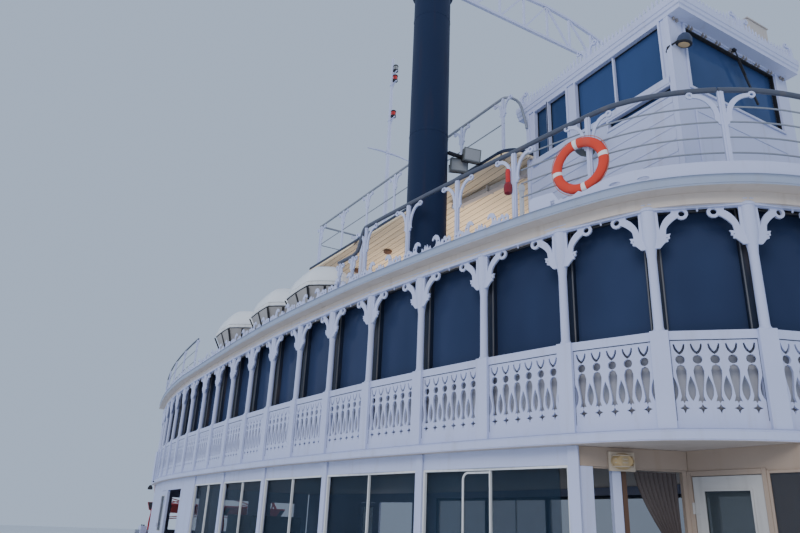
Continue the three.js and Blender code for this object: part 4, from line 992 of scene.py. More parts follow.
class BOAT_OT_window_trim(bpy.types.Operator):
    """Frames and mullions of the saloon and main-deck windows, door panes, curtain and bulkhead lights"""

    bl_idname = "boat.window_trim"
    bl_label = "Window trim"

    def saloon(self):
        """A frame in front of each saloon window and a dark seal behind it."""
        shapes, seals = [], []
        for i in range(-1 - STERN, STERN):
            middle, u, w, long = bay(i, -0.10)
            half, low, high = long / 2 - 0.09, SALOON_SILL, 7.105
            shapes.append(place(frame_bars(half, low, high, 0.014, 0.016, PROUD), middle, u, UP, w))
            seal = frame_bars(half - 0.018, low + 0.015, high - 0.015, 0.018, 0.012, -0.086)
            seals.append(place(seal, middle, u, UP, w))
        build("saloon_window_frames", [(shapes, "frame_beige"), (seals, "black_rubber")])

    def house(self):
        """Each long window: a metal frame and a thin mullion; the foremost also has a sliding sash, whose bar
        turns in a quarter circle from its stile to its top."""
        low, high = HOUSE_GLASS
        turn = np.radians(np.linspace(180, 90, 7))
        parts = []
        for sign in SIGNS:
            for i in HOUSE_WINDOWS:
                middle, u, w, long = bay(on_side(sign, i, 2), HOUSE_LINE, 2)
                half = long / 2 - 0.07
                shapes = [frame_bars(half - 0.03, low, high, 0.03, 0.05, -0.045),
                          box((-0.012, low, -0.05), (0.012, high, -0.005))]
                if i == SASH_BAY:
                    aft, top, back, r = -0.40 * half, 4.22, -0.034, 0.09
                    x, y = aft + r + r * np.cos(turn), top - r + r * np.sin(turn)
                    corner = np.stack((x, y, np.full(7, back)), -1)
                    sash = np.concatenate(([(aft, low, back)], corner, [(0.0, top, back)]))
                    shapes.append(tube(sash, 0.015, 8))
                parts += placed(shapes, middle, u, UP, w)
        build("house_window_frames", [(parts, "buoy_white")], bevel=TRIM_BEVEL)

    def pane(self, name, leaf, pane, bead):
        """Pane with its bead, riding on a door's leaf."""
        build(name, [(pane, "door_pane"), (bead, "door_paint")], body=leaf)

    def doors(self):
        """Panes with their beads in the five hinged doors."""
        aft, fore = FOREDECK_DOOR
        low, high = DOOR_PANE
        for side, sign in SIDES:
            y = sign * (LOBBY_SIDE - 0.0225)
            pane = box((aft + DOOR_STILE, y - 0.006, MAIN_DECK + low),
                       (fore - DOOR_STILE, y + 0.006, MAIN_DECK + high))
            bead = frame_bars(0.274, *DOOR_BEAD, 0.022, 0.008, PROUD)
            bead = place(bead, ((aft + fore) / 2, sign * LOBBY_SIDE, MAIN_DECK), *abeam(sign))
            self.pane(f"foredeck_door_pane_{side}", f"foredeck_door_{side}_leaf", pane, bead)
            middle, u, w, long = bay(on_side(sign, SIDE_DOOR_BAY, 1), HOUSE_LINE - 0.035)
            half = (long - 0.24) / 2 - DOOR_STILE
            at = middle + (0, 0, MAIN_DECK)
            pane = place(box((-half, low, 0.004), (half, high, 0.018)), at, u, UP, w)
            bead = place(frame_bars(half - 0.01, *DOOR_BEAD, 0.022, 0.008, 0.0353), at, u, UP, w)
            self.pane(f"side_door_pane_{side}", f"side_door_{side}_leaf", pane, bead)
        x = PILOT_AFT
        pane = box((x + 0.016, -0.259, DECK_3 + 1.001), (x + 0.028, 0.259, DECK_3 + 1.899))
        bead = frame_bars(0.248, 1.012, 1.888, 0.022, 0.008, PROUD)
        bead = place(bead, (x, 0, DECK_3), (0, -1, 0), UP, (-1, 0, 0))
        self.pane("pilothouse_door_pane", "pilothouse_door_leaf", pane, bead)

    def front(self):
        """House front: frames of the foredeck doors, the lobby's front and side windows, and on each wing two
        posts, a head board, a dark inner post and the curtain."""
        cream, white, glass, cloth, wood = [], [], [], [], []
        for sign in SIGNS:
            face = abeam(sign)
            wall = (0, sign * LOBBY_SIDE, 0)
            cream.append(place(frame_bars(0.425, MAIN_DECK + 0.02, 4.2, 0.055, 0.014, PROUD),
                               (sum(FOREDECK_DOOR) / 2, *wall[1:]), *face))
            glass.append(place(box((12.44, 2.75, 0.001), (12.86, 4.2, 0.010)), wall, *face))
            cream.append(place(frame_bars(0.21, 2.75, 4.2, 0.03, 0.02, 0.001), (12.65, *wall[1:]), *face))
            start, u, w = wing(sign)
            low, high = MAIN_DECK + 0.061, WING_HEAD - 0.018
            posts = [box((0.0, HOUSE_LOW, PROUD), (0.205, WING_HEAD, 0.022)),
                     box((0.425, low, -0.08), (0.530, high, 0.012))]
            white += placed(posts, start, u, UP, w)
            head = box((0.0, WING_HEAD, PROUD), (1.31, DECK_2_UNDER - 0.001, 0.018))
            cream.append(place(head, start, u, UP, w))
            wood.append(place(box((0.545, low, -0.060), (0.600, high, -0.020)), start, u, UP, w))
            cloth.append(self.curtain(sign))
        front = (LOBBY_FRONT, 0, 0)
        glass.append(place(box((-0.905, 2.895, -0.05), (0.905, 4.255, -0.035)), front, *AHEAD))
        cream.append(place(frame_bars(0.9, 2.9, 4.25, 0.05, 0.02, PROUD), front, *AHEAD))
        cream.append(place(box((-0.02, 2.9, -0.03), (0.02, 4.25, 0.012)), front, *AHEAD))
        # The cream trim takes the house front's painted shade
        build("house_front_trim", [(cream, "cream_painted_shade"), (white, "white_enamel")], bevel=TRIM_BEVEL)
        build("house_front_glass", [(glass, "house_pane")])
        build("house_front_curtains", [(cloth, "curtain_cloth")])
        build("house_front_posts", [(wood, "dark_wood")])

    def curtain(self, sign):
        """Gathered curtain tied back to the lobby side: x and z on a grid, its folds a sine across the width
        that narrows towards the tie; returned along its back so that the cloth is closed."""
        across, down = 60, 24
        s, t = np.meshgrid(np.linspace(0, 1, across), np.linspace(0, 1, down))
        start, u, w = wing(sign)
        tie = 0.45
        narrow, spread = np.clip(t / tie, 0, 1) ** 1.5, np.clip((t - tie) / (1 - tie), 0, 1)
        along = 1.235 - s * (0.50 * (1 - 0.72 * narrow) + 0.10 * spread)
        back = -0.125 + 0.022 * np.sin(s * 2 * np.pi * 9) * (0.5 + 0.5 * t)
        x, y = (start[i] + along * u[i] + back * w[i] for i in (0, 1))
        front = np.stack((x, y, 4.24 - 1.75 * t), -1)
        sheet = np.concatenate((front, (front - 0.006 * w)[::-1]))
        return sheet.reshape(-1, 3), [grid_faces(2 * down, across, True)]

    def lights(self):
        """Bulkhead lights on the wings' slanted faces, with cage bars, and the deck lamps aft."""
        body, cover, dark = [], [], []
        glow = lathe([(0.001, 0.10), (0.06, 0.095), (0.085, 0.05), (0.09, 0.0)], 20)
        for sign in SIGNS:
            start, u, w = wing(sign)
            at = start + 0.535 * u + (0, 0, 4.325)
            cage = [box((-0.15, -0.105, 0.018), (0.15, 0.105, 0.055))]
            for k in (-0.06, -0.02, 0.02, 0.06):
                hoop = [(-0.12, k, 0.055), (-0.10, k, 0.13), (0, k, 0.155), (0.10, k, 0.13), (0.12, k, 0.055)]
                cage.append(tube(hoop, 0.007, 6))
            body += placed(cage, at, u, UP, w)
            cover.append(place(glow, at + 0.055 * w, 1.45 * u, UP, w))
            x, y = edge(on_side(sign, 18), 0.085)
            dark += [box((x - 0.03, y - 0.03, 4.50), (x + 0.03, y + sign * 0.10 + 0.03, 4.54)),
                     lathe([(0.03, 4.40), (0.075, 4.33), (0.08, 4.27), (0.07, 4.26)], 16, x, y + sign * 0.12)]
        build("bulkhead_lights", [(body, "aged_white"), (cover, "light_cover"),
                                  (dark, "dark_iron")], bevel=0.003)

    def execute(self, context):
        self.saloon()
        self.house()
        self.doors()
        self.front()
        self.lights()
        return {"FINISHED"}


RAIL_LINE = 0.10
RAIL_SPLIT = 1.16
RAIL_END = 6.17
TUBE_STATIONS = (2.3, 3.41, 4.34, 5.22, 6.17, 6.21, 6.25, 6.28, 6.31, 6.35, 6.42, 6.5, 6.85)
TUBE_HEIGHTS = (1.21, 1.095, 1.065, 1.04, 1.02, 0.985, 0.90, 0.80, 0.70, 0.63, 0.60, 0.592, 0.59)
ROD_HEIGHTS = (0.35, 0.557, 0.763, 0.97)
ROD_END = 3.41
BOARD_OUT = 0.215
CREST_OUT = 0.19
AFT_TUBE = 0.026
AFT_RODS = (0.33, 0.66)


def tube_height(t):
    """Height of the middle of the rail's tube above the deck at stations t, starboard side."""
    return np.interp(t, TUBE_STATIONS, TUBE_HEIGHTS)


def rail_scroll(reach=0.30, drop=0.38, weight=1.0):
    """Sawn bracket under a rail beside its post: a quarter-curved arm that leaves the post upright
    and ends level in a ring under the tube. x runs off the post, y up to the tube."""
    a = np.radians(np.linspace(8, 90, 9))[:, None]
    rise, run = np.sin(a), 1 - np.cos(a)
    eye, low, high, foot = (reach - 0.045, -0.047), 0.052 * weight, 0.010, 0.05 * weight
    lower = np.concatenate((low + (reach - 0.085 - low) * run, -drop + (drop - 0.080) * rise), 1)
    upper = np.concatenate((high + (reach - 0.082 - high) * run,
                            -drop + foot + (drop - 0.028 - foot) * rise), 1)
    root = [(0, -drop + 0.05), (0, -drop - 0.09), (0.030, -drop - 0.075), (0.036, -drop - 0.045),
            (0.062, -drop - 0.035), (0.058 * weight, -drop - 0.01)]
    outline = np.concatenate((root, lower, circle(*eye, 0.045, 12, 215, 510), upper[::-1]))
    return cut_plate(outline, [circle(*eye, 0.021, 9)], 0.022)


def bay_crest(long):
    """Sawn cresting of one bay, mirrored about its middle: leaf lumps beside each post, a scroll curling
    inwards and a three-pointed crown."""
    half = np.array([
        (-0.60, 0), (-0.60, 0.10), (-0.575, 0.135), (-0.55, 0.14), (-0.525, 0.105), (-0.50, 0.125),
        (-0.475, 0.155), (-0.445, 0.145), (-0.43, 0.105), (-0.405, 0.125), (-0.385, 0.11), (-0.37, 0.065),
        (-0.345, 0.10), (-0.33, 0.16), (-0.29, 0.215), (-0.235, 0.235), (-0.185, 0.215), (-0.155, 0.175),
        (-0.16, 0.148), (-0.185, 0.155), (-0.205, 0.175), (-0.235, 0.165), (-0.255, 0.13), (-0.255, 0.085),
        (-0.225, 0.05), (-0.17, 0.035), (-0.12, 0.04), (-0.105, 0.095), (-0.08, 0.055), (-0.055, 0.065),
        (-0.03, 0.13)])
    half = half * (long / 1.2, 1)
    outline = np.concatenate((half, [(0, 0.075)], half[::-1] * (-1, 1)))
    holes = [circle(sign * x * long / 1.2, y, r, 7) for sign in (-1, 1)
             for x, y, r in ((0.54, 0.075, 0.020), (0.455, 0.072, 0.022), (0.302, 0.125, 0.020))]
    return cut_plate(outline + (long / 2, 0), [h + (long / 2, 0) for h in holes], 0.016)


def bow_board(long, end):
    """Board round the bow between the two quarter posts: 0.18 m high, then stepping down in scallops towards
    each end, with two oval slots and a small square one near each end."""
    step = np.array([
        (0.23, 0.0), (0.23, 0.185), (0.30, 0.205), (0.45, 0.20), (0.58, 0.195), (0.63, 0.12), (0.66, 0.06),
        (0.70, 0.075), (0.74, 0.05), (0.79, 0.07), (0.83, 0.05), (0.89, 0.075), (0.94, 0.10), (0.98, 0.075),
        (1.05, 0.085), (1.15, 0.115), (1.25, 0.145), (1.35, 0.16), (end, 0.17)])
    middle = np.stack((np.linspace(end + 0.05, long - end - 0.05, 70), np.full(70, 0.175)), -1)
    foot = np.stack((np.linspace(long - 0.23, 0.23, 110)[1:-1], np.zeros(108)), -1)
    outline = np.concatenate((step, middle, step[::-1] * (-1, 1) + (long, 0), foot))
    oval = circle(0, 0, 1, 14) * (0.070, 0.024)
    square = np.array([(-0.028, -0.035), (0.028, -0.035), (0.028, 0.035), (-0.028, 0.035)])
    slots = []
    for shape, x, y in ((oval, 1.40, 0.055), (oval, 1.73, 0.050), (square, 0.575, 0.045)):
        slots += [shape + (x, y), shape + (long - x, y)]
    return cut_plate(outline, slots, 0.016)


class BOAT_OT_upper_rails(bpy.types.Operator):
    """Rails of the upper deck with tubes, rods, posts and scrolls, the edge boards and the lifebuoys"""

    bl_idname = "boat.upper_rails"
    bl_label = "Upper rails"

    def posts(self, stations, heights, sign, wide=0.035, scroll=None):
        """Flat posts, a foot plate and a scroll on each side, at their own heights."""
        shapes = []
        for t, high in zip(stations, heights):
            point, u, w = station(on_side(sign, t), RAIL_LINE)
            at = point + (0, 0, DECK_3)
            parts = [box((-wide, GAP, -0.018), (wide, high - 0.02, 0.018)),
                     box((-0.012, GAP, 0.018), (0.012, high - 0.03, 0.030)),
                     box((-wide - 0.025, GAP, -0.045), (wide + 0.025, 0.012, 0.045))]
            shapes += placed(parts, at, u, UP, w)
            for way in SIGNS if scroll else ():
                top = at + (0, 0, high - 0.028) + way * (wide - 0.004) * u
                shapes.append(place(rail_scroll(*scroll), top, way * u, UP, w))
        return merge(shapes)

    def line(self, t, heights, sign, radius, sides):
        """Tube or rod along the deck edge at stations t, at heights over the deck."""
        level = np.broadcast_to(DECK_3 + heights, t.shape)
        return tube(np.column_stack((edge_points(on_side(sign, t), RAIL_LINE), level)), radius, sides)

    def finished(self, dark, grey, white):
        """Tube, rods and posts of one rail with their finishes."""
        return [(dark, "rail_enamel"), (grey, "rod_enamel"), (white, "white_enamel")]

    def fore(self, s, sign):
        """Tube that falls slowly from the bow, bends down behind the last post and runs on low; four rods."""
        split, stops = RAIL_SPLIT + 0.02, (2.56, 3.50, 4.34, 5.22, 6.14)
        t = np.concatenate((np.arange(split, RAIL_END, 0.1), np.linspace(RAIL_END, TUBE_STATIONS[-1], 24)))
        dark = self.line(t, tube_height(t), sign, s.rail_tube, 12)
        grey = [self.line(np.linspace(split, ROD_END, 30), h, sign, s.rod, 6) for h in ROD_HEIGHTS]
        white = [self.posts(stops, tube_height(stops), sign, scroll=(0.30, 0.38, 0.8)),
                 self.posts((6.45, 6.8), (0.59, 0.58), sign, 0.028, (0.12, 0.16))]
        return self.finished(dark, grey, white)

    def level(self, s, first, last, stations, high, rods, radius, sign, scroll):
        """Rail whose tube runs at one height from the first to the last station, over its rods."""
        t = np.linspace(first, last, max(6, int(abs(last - first) * 9)))
        dark = self.line(t, high - radius, sign, radius, 12)
        grey = [self.line(t, h, sign, s.rod, 6) for h in rods]
        white = self.posts(stations, [high - radius] * len(stations), sign, scroll=scroll)
        return self.finished(dark, grey, white)

    def lifebuoy(self, t, s):
        """Ring torus: tube circle of 0.065 m carried round the buoy's circle, four pale bands proud of it
        and a grab line held at the bands."""
        point, u, w = station(t, RAIL_LINE + 0.062)
        centre = point + (0, 0, DECK_3 + 0.48)
        sides, turn = 16, math.radians(8)

        def radial(a):
            """Directions from the buoy's middle at the angles a."""
            return np.cos(a)[:, None] * u + np.sin(a)[:, None] * UP

        def ring(radius, a, closed):
            """Tube of one radius round the buoy's circle, over the angles a."""
            b = np.linspace(0, 2 * np.pi, sides, endpoint=False)[None, :, None]
            outward = radial(a)
            path = centre + s.buoy * outward
            points = path[:, None] + radius * (np.cos(b) * outward[:, None] + 0.72 * np.sin(b) * w)
            faces = [grid_faces(len(a), sides, True, True)] if closed else capped(len(a), sides)
            return points.reshape(-1, 3), faces

        bands = [ring(0.0665, np.radians(np.linspace(k - 5, k + 5, 6)), False) for k in (8, 98, 188, 278)]
        shell = ring(0.065, np.radians(np.linspace(0, 360, 48, endpoint=False)), True)
        a = np.linspace(0, 2 * np.pi, 96, endpoint=False)
        sag = 0.068 + 0.016 * np.abs(np.sin(2 * (a - turn)))
        rope = tube(centre + (s.buoy + sag)[:, None] * radial(a) + w * 0.006, 0.005, 6, True)
        return [(shell, "buoy_orange"), (bands, "buoy_white"), (rope, "buoy_rope")]

    def float_light(self, sign):
        """Lifebuoy light on its post: a red tube over a dark red float with a collar."""
        point, u, w = station(on_side(sign, 3.50), RAIL_LINE + 0.045)
        at = point + (0, 0, DECK_3) + sign * u * 0.075
        body = lathe([(0.02, 0.44), (0.055, 0.46), (0.062, 0.52), (0.056, 0.58), (0.040, 0.615),
                      (0.034, 0.62)], 18)
        head = lathe([(0.030, 0.615), (0.034, 0.63), (0.034, 0.80), (0.028, 0.825), (0.012, 0.835)], 16)
        strap = box((-0.08, 0.50, -0.045), (0.08, 0.53, -0.020))
        return [(place(body, at, u, w, UP), "float_red"), (place(head, at, u, w, UP), "red_lens"),
                (place(strap, at, u, UP, w), "dark_iron")]

    def execute(self, context):
        s = context.scene.boat_sizes
        for side, sign in SIDES:
            parts = self.fore(s, sign) + self.lifebuoy(on_side(sign, 2.66), s) + self.float_light(sign)
            build(f"fore_rail_{side}", parts, replaced=(f"rail_fore_{side}",))
            stops = (14.05, 15.5, 17, 18.5, 19.95)
            parts = self.level(s, 14.02, 19.97, stops, 1.0, AFT_RODS, AFT_TUBE, sign, (0.20, 0.26))
            build(f"aft_rail_{side}", parts, replaced=(f"rail_aft_{side}",))
            self.cresting(side, sign)
        stops = (-2.14, -0.5, 1.14)
        parts = self.level(
            s, -1 - RAIL_SPLIT, RAIL_SPLIT, stops, 1.242, ROD_HEIGHTS, s.rail_tube, -1.0, (0.37, 0.37, 1.2))
        build("bow_rail", parts, replaced=("rail_bow",))
        self.stern(s)
        reach = ROD_END + 0.02
        long = edge_length(-1 - reach, reach, BOARD_OUT)
        board = bent(bow_board(long, 1.50), -1 - reach, reach, BOARD_OUT, DECK_3 + PROUD)
        build("bow_edge_board", [(board, "white_enamel")])
        return {"FINISHED"}

    def cresting(self, side, sign):
        """Sawn cresting bay by bay along the deck edge, from the quarter post aft."""
        stops = [3.50, 4.34, 5.22, 6.14, *range(7, 20), 19.96]
        shapes = []
        for a, b in zip(stops, stops[1:]):
            run = (on_side(sign, a + 0.03), on_side(sign, b - 0.03), CREST_OUT)
            shapes.append(bent(bay_crest(edge_length(*run)), *run, DECK_3 + PROUD))
        build(f"edge_cresting_{side}", [(shapes, "white_enamel")])

    def stern(self, s):
        """Straight rail across the stern between the two aft corners."""
        x, half = POSTS[STERN] - (RAIL_LINE, 0.12)

        def across(h, radius, sides):
            """Round bar from side to side at one height."""
            return bar((x, -half, DECK_3 + h), (x, half, DECK_3 + h), radius, sides)

        dark, grey = across(1 - AFT_TUBE, AFT_TUBE, 12), [across(h, s.rod, 6) for h in AFT_RODS]
        white = []
        for y in np.linspace(-half + 0.04, half - 0.04, 5):
            at = (x, y, DECK_3)
            white += [place(box((-0.035, GAP, -0.018), (0.035, 0.955, 0.018)), at, *ASTERN),
                      place(box((-0.06, GAP, -0.045), (0.06, 0.012, 0.045)), at, *ASTERN)]
            for k in (-1, 1):
                if abs(y + k * 0.2) < half:
                    top = (x, y + k * 0.031, DECK_3 + 0.948)
                    white.append(place(rail_scroll(0.20, 0.26), top, (0, k, 0), UP, (-1, 0, 0)))
        build("stern_rail", self.finished(dark, grey, white), replaced=("rail_stern",))


class BOAT_OT_stacks(bpy.types.Operator):
    """Two tall stacks with bands, flared crowns and rivets"""

    bl_idname = "boat.stacks"
    bl_label = "Stacks"

    SEAMS = (9.9, 12.4)

    def execute(self, context):
        r, top, band = STACK["radius"], STACK_TOP, STACK_BAND
        wall = [(r + 0.06, DECK_3 + GAP), (r + 0.06, DECK_3 + 0.05), (r, DECK_3 + 0.06)]
        for z in self.SEAMS:
            wall += [(r, z - 0.022), (r + 0.003, z - 0.019), (r + 0.003, z + 0.019), (r, z + 0.022)]
        wall += [
            (r, band - 0.02), (r + 0.03, band - 0.005), (r + 0.05, band + 0.02), (r + 0.05, band + 0.10),
            (r + 0.03, band + 0.115), (r, band + 0.13), (r, top - 0.6), (r + 0.02, top - 0.45),
            (r + 0.06, top - 0.28), (r + 0.13, top - 0.12), (0.56, top), (0.545, top), (0.53, top - 0.01),
            (r + 0.10, top - 0.13), (r + 0.02, top - 0.3), (r - 0.03, top - 0.45), (r - 0.03, top - 2.6)]
        a = np.linspace(0, 2 * np.pi, 24, endpoint=False)
        out = np.stack((np.cos(a), np.sin(a), 0 * a), -1)
        tangent = np.stack((-np.sin(a), np.cos(a), 0 * a), -1)
        head = lathe([(0.009, -0.002), (0.008, 0.003), (0.003, 0.005)], 6)
        for side, sign in SIDES:
            x, y = STACK["x"], sign * STACK["y"]
            rivets = [repeat(head, (x, y, z) + out * (r + 0.003), tangent, UP, out) for z in self.SEAMS]
            shell = lathe(wall, 56, x, y)
            build(f"stack_shell_{side}", [(shell, "stack_enamel"), (rivets, "stack_enamel")],
                  replaced=(f"stack_{side}",))
        return {"FINISHED"}


def canopy_half(x):
    """Half width of the canopy at x: it narrows evenly towards the pilothouse."""
    share = (np.asarray(x) - CANOPY_AFT) / (CANOPY_FRONT - CANOPY_AFT)
    return CANOPY_HALF_AFT + (CANOPY_HALF_FORE - CANOPY_HALF_AFT) * share


def canopy_edge(sign):
    """Line along one side of the canopy, round its fore corner in a quarter circle, in to the pilothouse."""
    x, r = CANOPY_FRONT - CANOPY_CORNER, CANOPY_CORNER
    turn = np.radians(np.linspace(87, 0, 12))
    corner = np.array((x, canopy_half(x) - r)) + r * np.stack((np.cos(turn), np.sin(turn)), -1)
    line = np.concatenate(([(CANOPY_AFT, CANOPY_HALF_AFT)], corner, [(CANOPY_FRONT, PILOT_SIDE + 0.001)]))
    return line * (1, sign)


class BOAT_OT_canopy(bpy.types.Operator):
    """Board ceiling, edge moulding and post brackets of the canopy, its roof rail and the floodlights"""

    bl_idname = "boat.canopy"
    bl_label = "Canopy"

    def ceiling(self):
        """Boards under the canopy, each a flat strip with rounded edges between narrow grooves: the profile
        runs across the boat and follows the edge by scaling with the canopy's half width."""
        count = 34
        strip = [(k + step, drop) for k in range(count)
                 for step, drop in ((0, 0.0), (0.03, -0.012), (0.97, -0.012), (1.0, 0.0))]
        face = np.array(strip)
        across = face[:, 0] / count * 2 - 1
        drop = np.append(face[:, 1] - 0.002, (-0.0005, -0.0005))
        rows = []
        for x in (CANOPY_AFT + 0.03, CANOPY_FRONT - CANOPY_CORNER):
            half = canopy_half(x) - 0.03
            y = np.append(across * half, (half, -half))
            rows.append(np.stack((np.full(len(y), x), y, CANOPY_UNDER + drop), -1))
        return np.concatenate(rows), capped(2, len(rows[0]))

    def execute(self, context):
        trim, dark, bright = [], [], []
        low, high = CANOPY_UNDER, CANOPY_TOP + 0.002
        lip = np.array([(0.001, low + 0.030), (0.014, low + 0.030), (0.014, high), (0.001, high)])
        bead = np.array([(-0.040, low - 0.022), (0.006, low - 0.022), (0.010, low + 0.004),
                         (0.010, low + 0.026), (0.001, low + 0.026), (0.001, low - 0.001),
                         (-0.040, low - 0.001)])
        for sign in SIGNS:
            dark.append(sweep(canopy_edge(sign), lip * (sign, 1)))
            bright.append(sweep(canopy_edge(sign), bead * (sign, 1)))
            for x in CANOPY_POSTS:
                y = sign * (canopy_half(x) - 0.075)
                post = np.array((x, y, low - 0.002))
                trim += [place(rail_scroll(0.24, 0.30), post + (k * 0.043, 0, 0), (k, 0, 0), UP, (0, sign, 0))
                         for k in (-1, 1)]
                trim.append(box((x - 0.08, y - 0.08, DECK_3 + GAP), (x + 0.08, y + 0.08, DECK_3 + 0.03)))
                trim.append(box((x - 0.06, y - 0.06, low - 0.06), (x + 0.06, y + 0.06, CEILING_UNDER)))
        build("canopy_ceiling", [(self.ceiling(), "ceiling_planks")], smooth=20)
        build("canopy_edge", [(dark, "dark_trim"), (bright, "ceiling_planks")],
              bevel=TRIM_BEVEL)
        build("canopy_post_trim", [(trim, "white_enamel")])
        self.under_canopy()
        self.roof_rail()
        self.floodlights()
        return {"FINISHED"}

    def under_canopy(self):
        """Ventilation duct and round lamps under the ceiling, and a capped vent on the deck each side."""
        duct, lamps, vents = [], [], []
        top, deck = CEILING_UNDER, DECK_3
        lamp = [(0.09, top), (0.10, top - 0.014), (0.095, top - 0.054), (0.06, top - 0.079),
                (0.01, top - 0.084)]
        vent = [(0.055, deck + GAP), (0.055, deck + 0.012), (0.032, deck + 0.02), (0.032, deck + 0.60),
                (0.044, deck + 0.61), (0.046, deck + 0.68), (0.034, deck + 0.715), (0.010, deck + 0.73)]
        for sign in SIGNS:
            duct.append(square_bar((6.7, sign * 1.50, 9.455), (8.78, sign * 1.21, 9.455), 0.10))
            duct += [box((x - 0.02, sign * y - 0.08, 9.40), (x + 0.02, sign * y + 0.08, top))
                     for x, y in ((6.9, 1.472), (7.7, 1.361), (8.5, 1.249))]
            lamps += [lathe(lamp, 20, x, sign * 1.36) for x in (2.2, 3.77, 5.4)]
            vents.append(lathe(vent, 20, VENT[0], sign * VENT[1]))
        build("canopy_duct", [(duct, "vent_tan"), (lamps, "lamp_brown")])
        build("deck_vents", [(vents, "buoy_white")])

    def roof_rail(self):
        """Tubes that follow the canopy's edge at the top and half way, the upper one turned inboard at its
        fore end and bent down beside the pilothouse; flat posts with a scroll each side."""
        base, high, aft, fore = CANOPY_TOP + GAP, 1.09, 1.65, 8.75
        tube_at, rod_at = (1.065, 0.025), (0.54, 0.011)
        bend = [(8.70, -1.841, 1.065), (8.75, -1.825, 1.068), (8.79, -1.77, 1.070), (8.815, -1.70, 1.068),
                (8.83, -1.62, 1.050), (8.835, -1.55, 1.000), (8.835, -1.505, 0.92), (8.835, -1.472, 0.80),
                (8.835, -1.42, 0.66), (8.835, -1.405, 0.54)]
        post = box((-0.028, 0, -0.016), (0.028, high - 0.03, 0.016))
        foot = box((-0.05, 0, -0.04), (0.05, 0.012, 0.04))
        curl = rail_scroll(0.22, 0.28, 0.8)
        x = np.linspace(aft + 0.06, fore - 0.03, 7)
        start = aft + 0.03
        tubes, plates = [], []
        for sign in SIGNS:
            def edge_y(at):
                """Side of the rail: 0.05 m inside the canopy's edge."""
                return sign * (canopy_half(at) - 0.05)

            run = np.concatenate(([(start, 0.05 - canopy_half(start), tube_at[0])], bend)) * (1, -sign, 1)
            z, radius = rod_at
            tubes += [tube(run + (0, 0, base), tube_at[1], 10),
                      bar((start, edge_y(start), base + z), (fore, edge_y(fore), base + z), radius, 8)]
            at = np.stack((x, edge_y(x), np.full(len(x), base)), -1)
            u = unit((CANOPY_FRONT - CANOPY_AFT, sign * (CANOPY_HALF_FORE - CANOPY_HALF_AFT), 0))
            out = np.array((0, sign, 0.0))
            w = unit(out - u * (out @ u))
            plates += [repeat(curl, at + (0, 0, high - 0.052) + k * 0.026 * u, k * u, UP, w) for k in (-1, 1)]
            plates += [repeat(part, at, u, UP, w) for part in (foot, post)]
        half = canopy_half(aft) - 0.025
        tubes += [bar((aft, -half, base + z), (aft, half, base + z), r, 10) for z, r in (tube_at, rod_at)]
        at = np.stack((np.full(5, aft), np.linspace(-half + 0.03, half - 0.03, 5), np.full(5, base)), -1)
        for k in (-1, 1):
            tops = at[1:-1] + (0, k * 0.026, high - 0.052)
            plates.append(repeat(curl, tops, (0, k, 0), UP, (-1, 0, 0)))
        plates.append(repeat(post, at, *ASTERN))
        build("roof_rail_tubes", [(tubes, "rod_enamel"), (plates, "white_enamel")], replaced=("roof_rail",))

    def floodlights(self):
        """Two box lamps on a brace between the starboard stack and the roof, each with a finned back, a visor
        and a lens."""
        base = CANOPY_TOP + GAP
        grey, glass, iron = [], [], [box((8.07, -2.57, base), (8.13, -1.70, base + 0.05))]
        body = [box((-0.150, -0.11, -0.055), (0.150, 0.11, 0.055)),
                box((-0.160, -0.12, 0.055), (0.160, 0.12, 0.075))]
        body += [box((k - 0.006, -0.10, -0.085), (k + 0.006, 0.10, -0.054))
                 for k in np.linspace(-0.13, 0.13, 9)]
        lens = box((-0.14, -0.10, 0.073), (0.14, 0.10, 0.079))
        yoke = tube([(-0.168, 0, 0), (-0.168, -0.13, 0), (0.168, -0.13, 0), (0.168, 0, 0)], 0.010, 6)
        for centre, turn in (((8.22, -2.17, 9.67), -0.20), ((7.98, -2.27, 9.55), -0.40)):
            axis = unit((1.0, turn, -0.22))
            side = unit(np.cross(UP, axis))
            aim = (centre, side, np.cross(axis, side), axis)
            grey.append(place(merge(body), *aim))
            glass.append(place(lens, *aim))
            iron.append(place(yoke, *aim))
        build("floodlight_boxes", [(grey, "lamp_grey"), (glass, "clear_lens"),
                                   (iron, "dark_iron")],
              replaced=("floodlights",), bevel=TRIM_BEVEL)


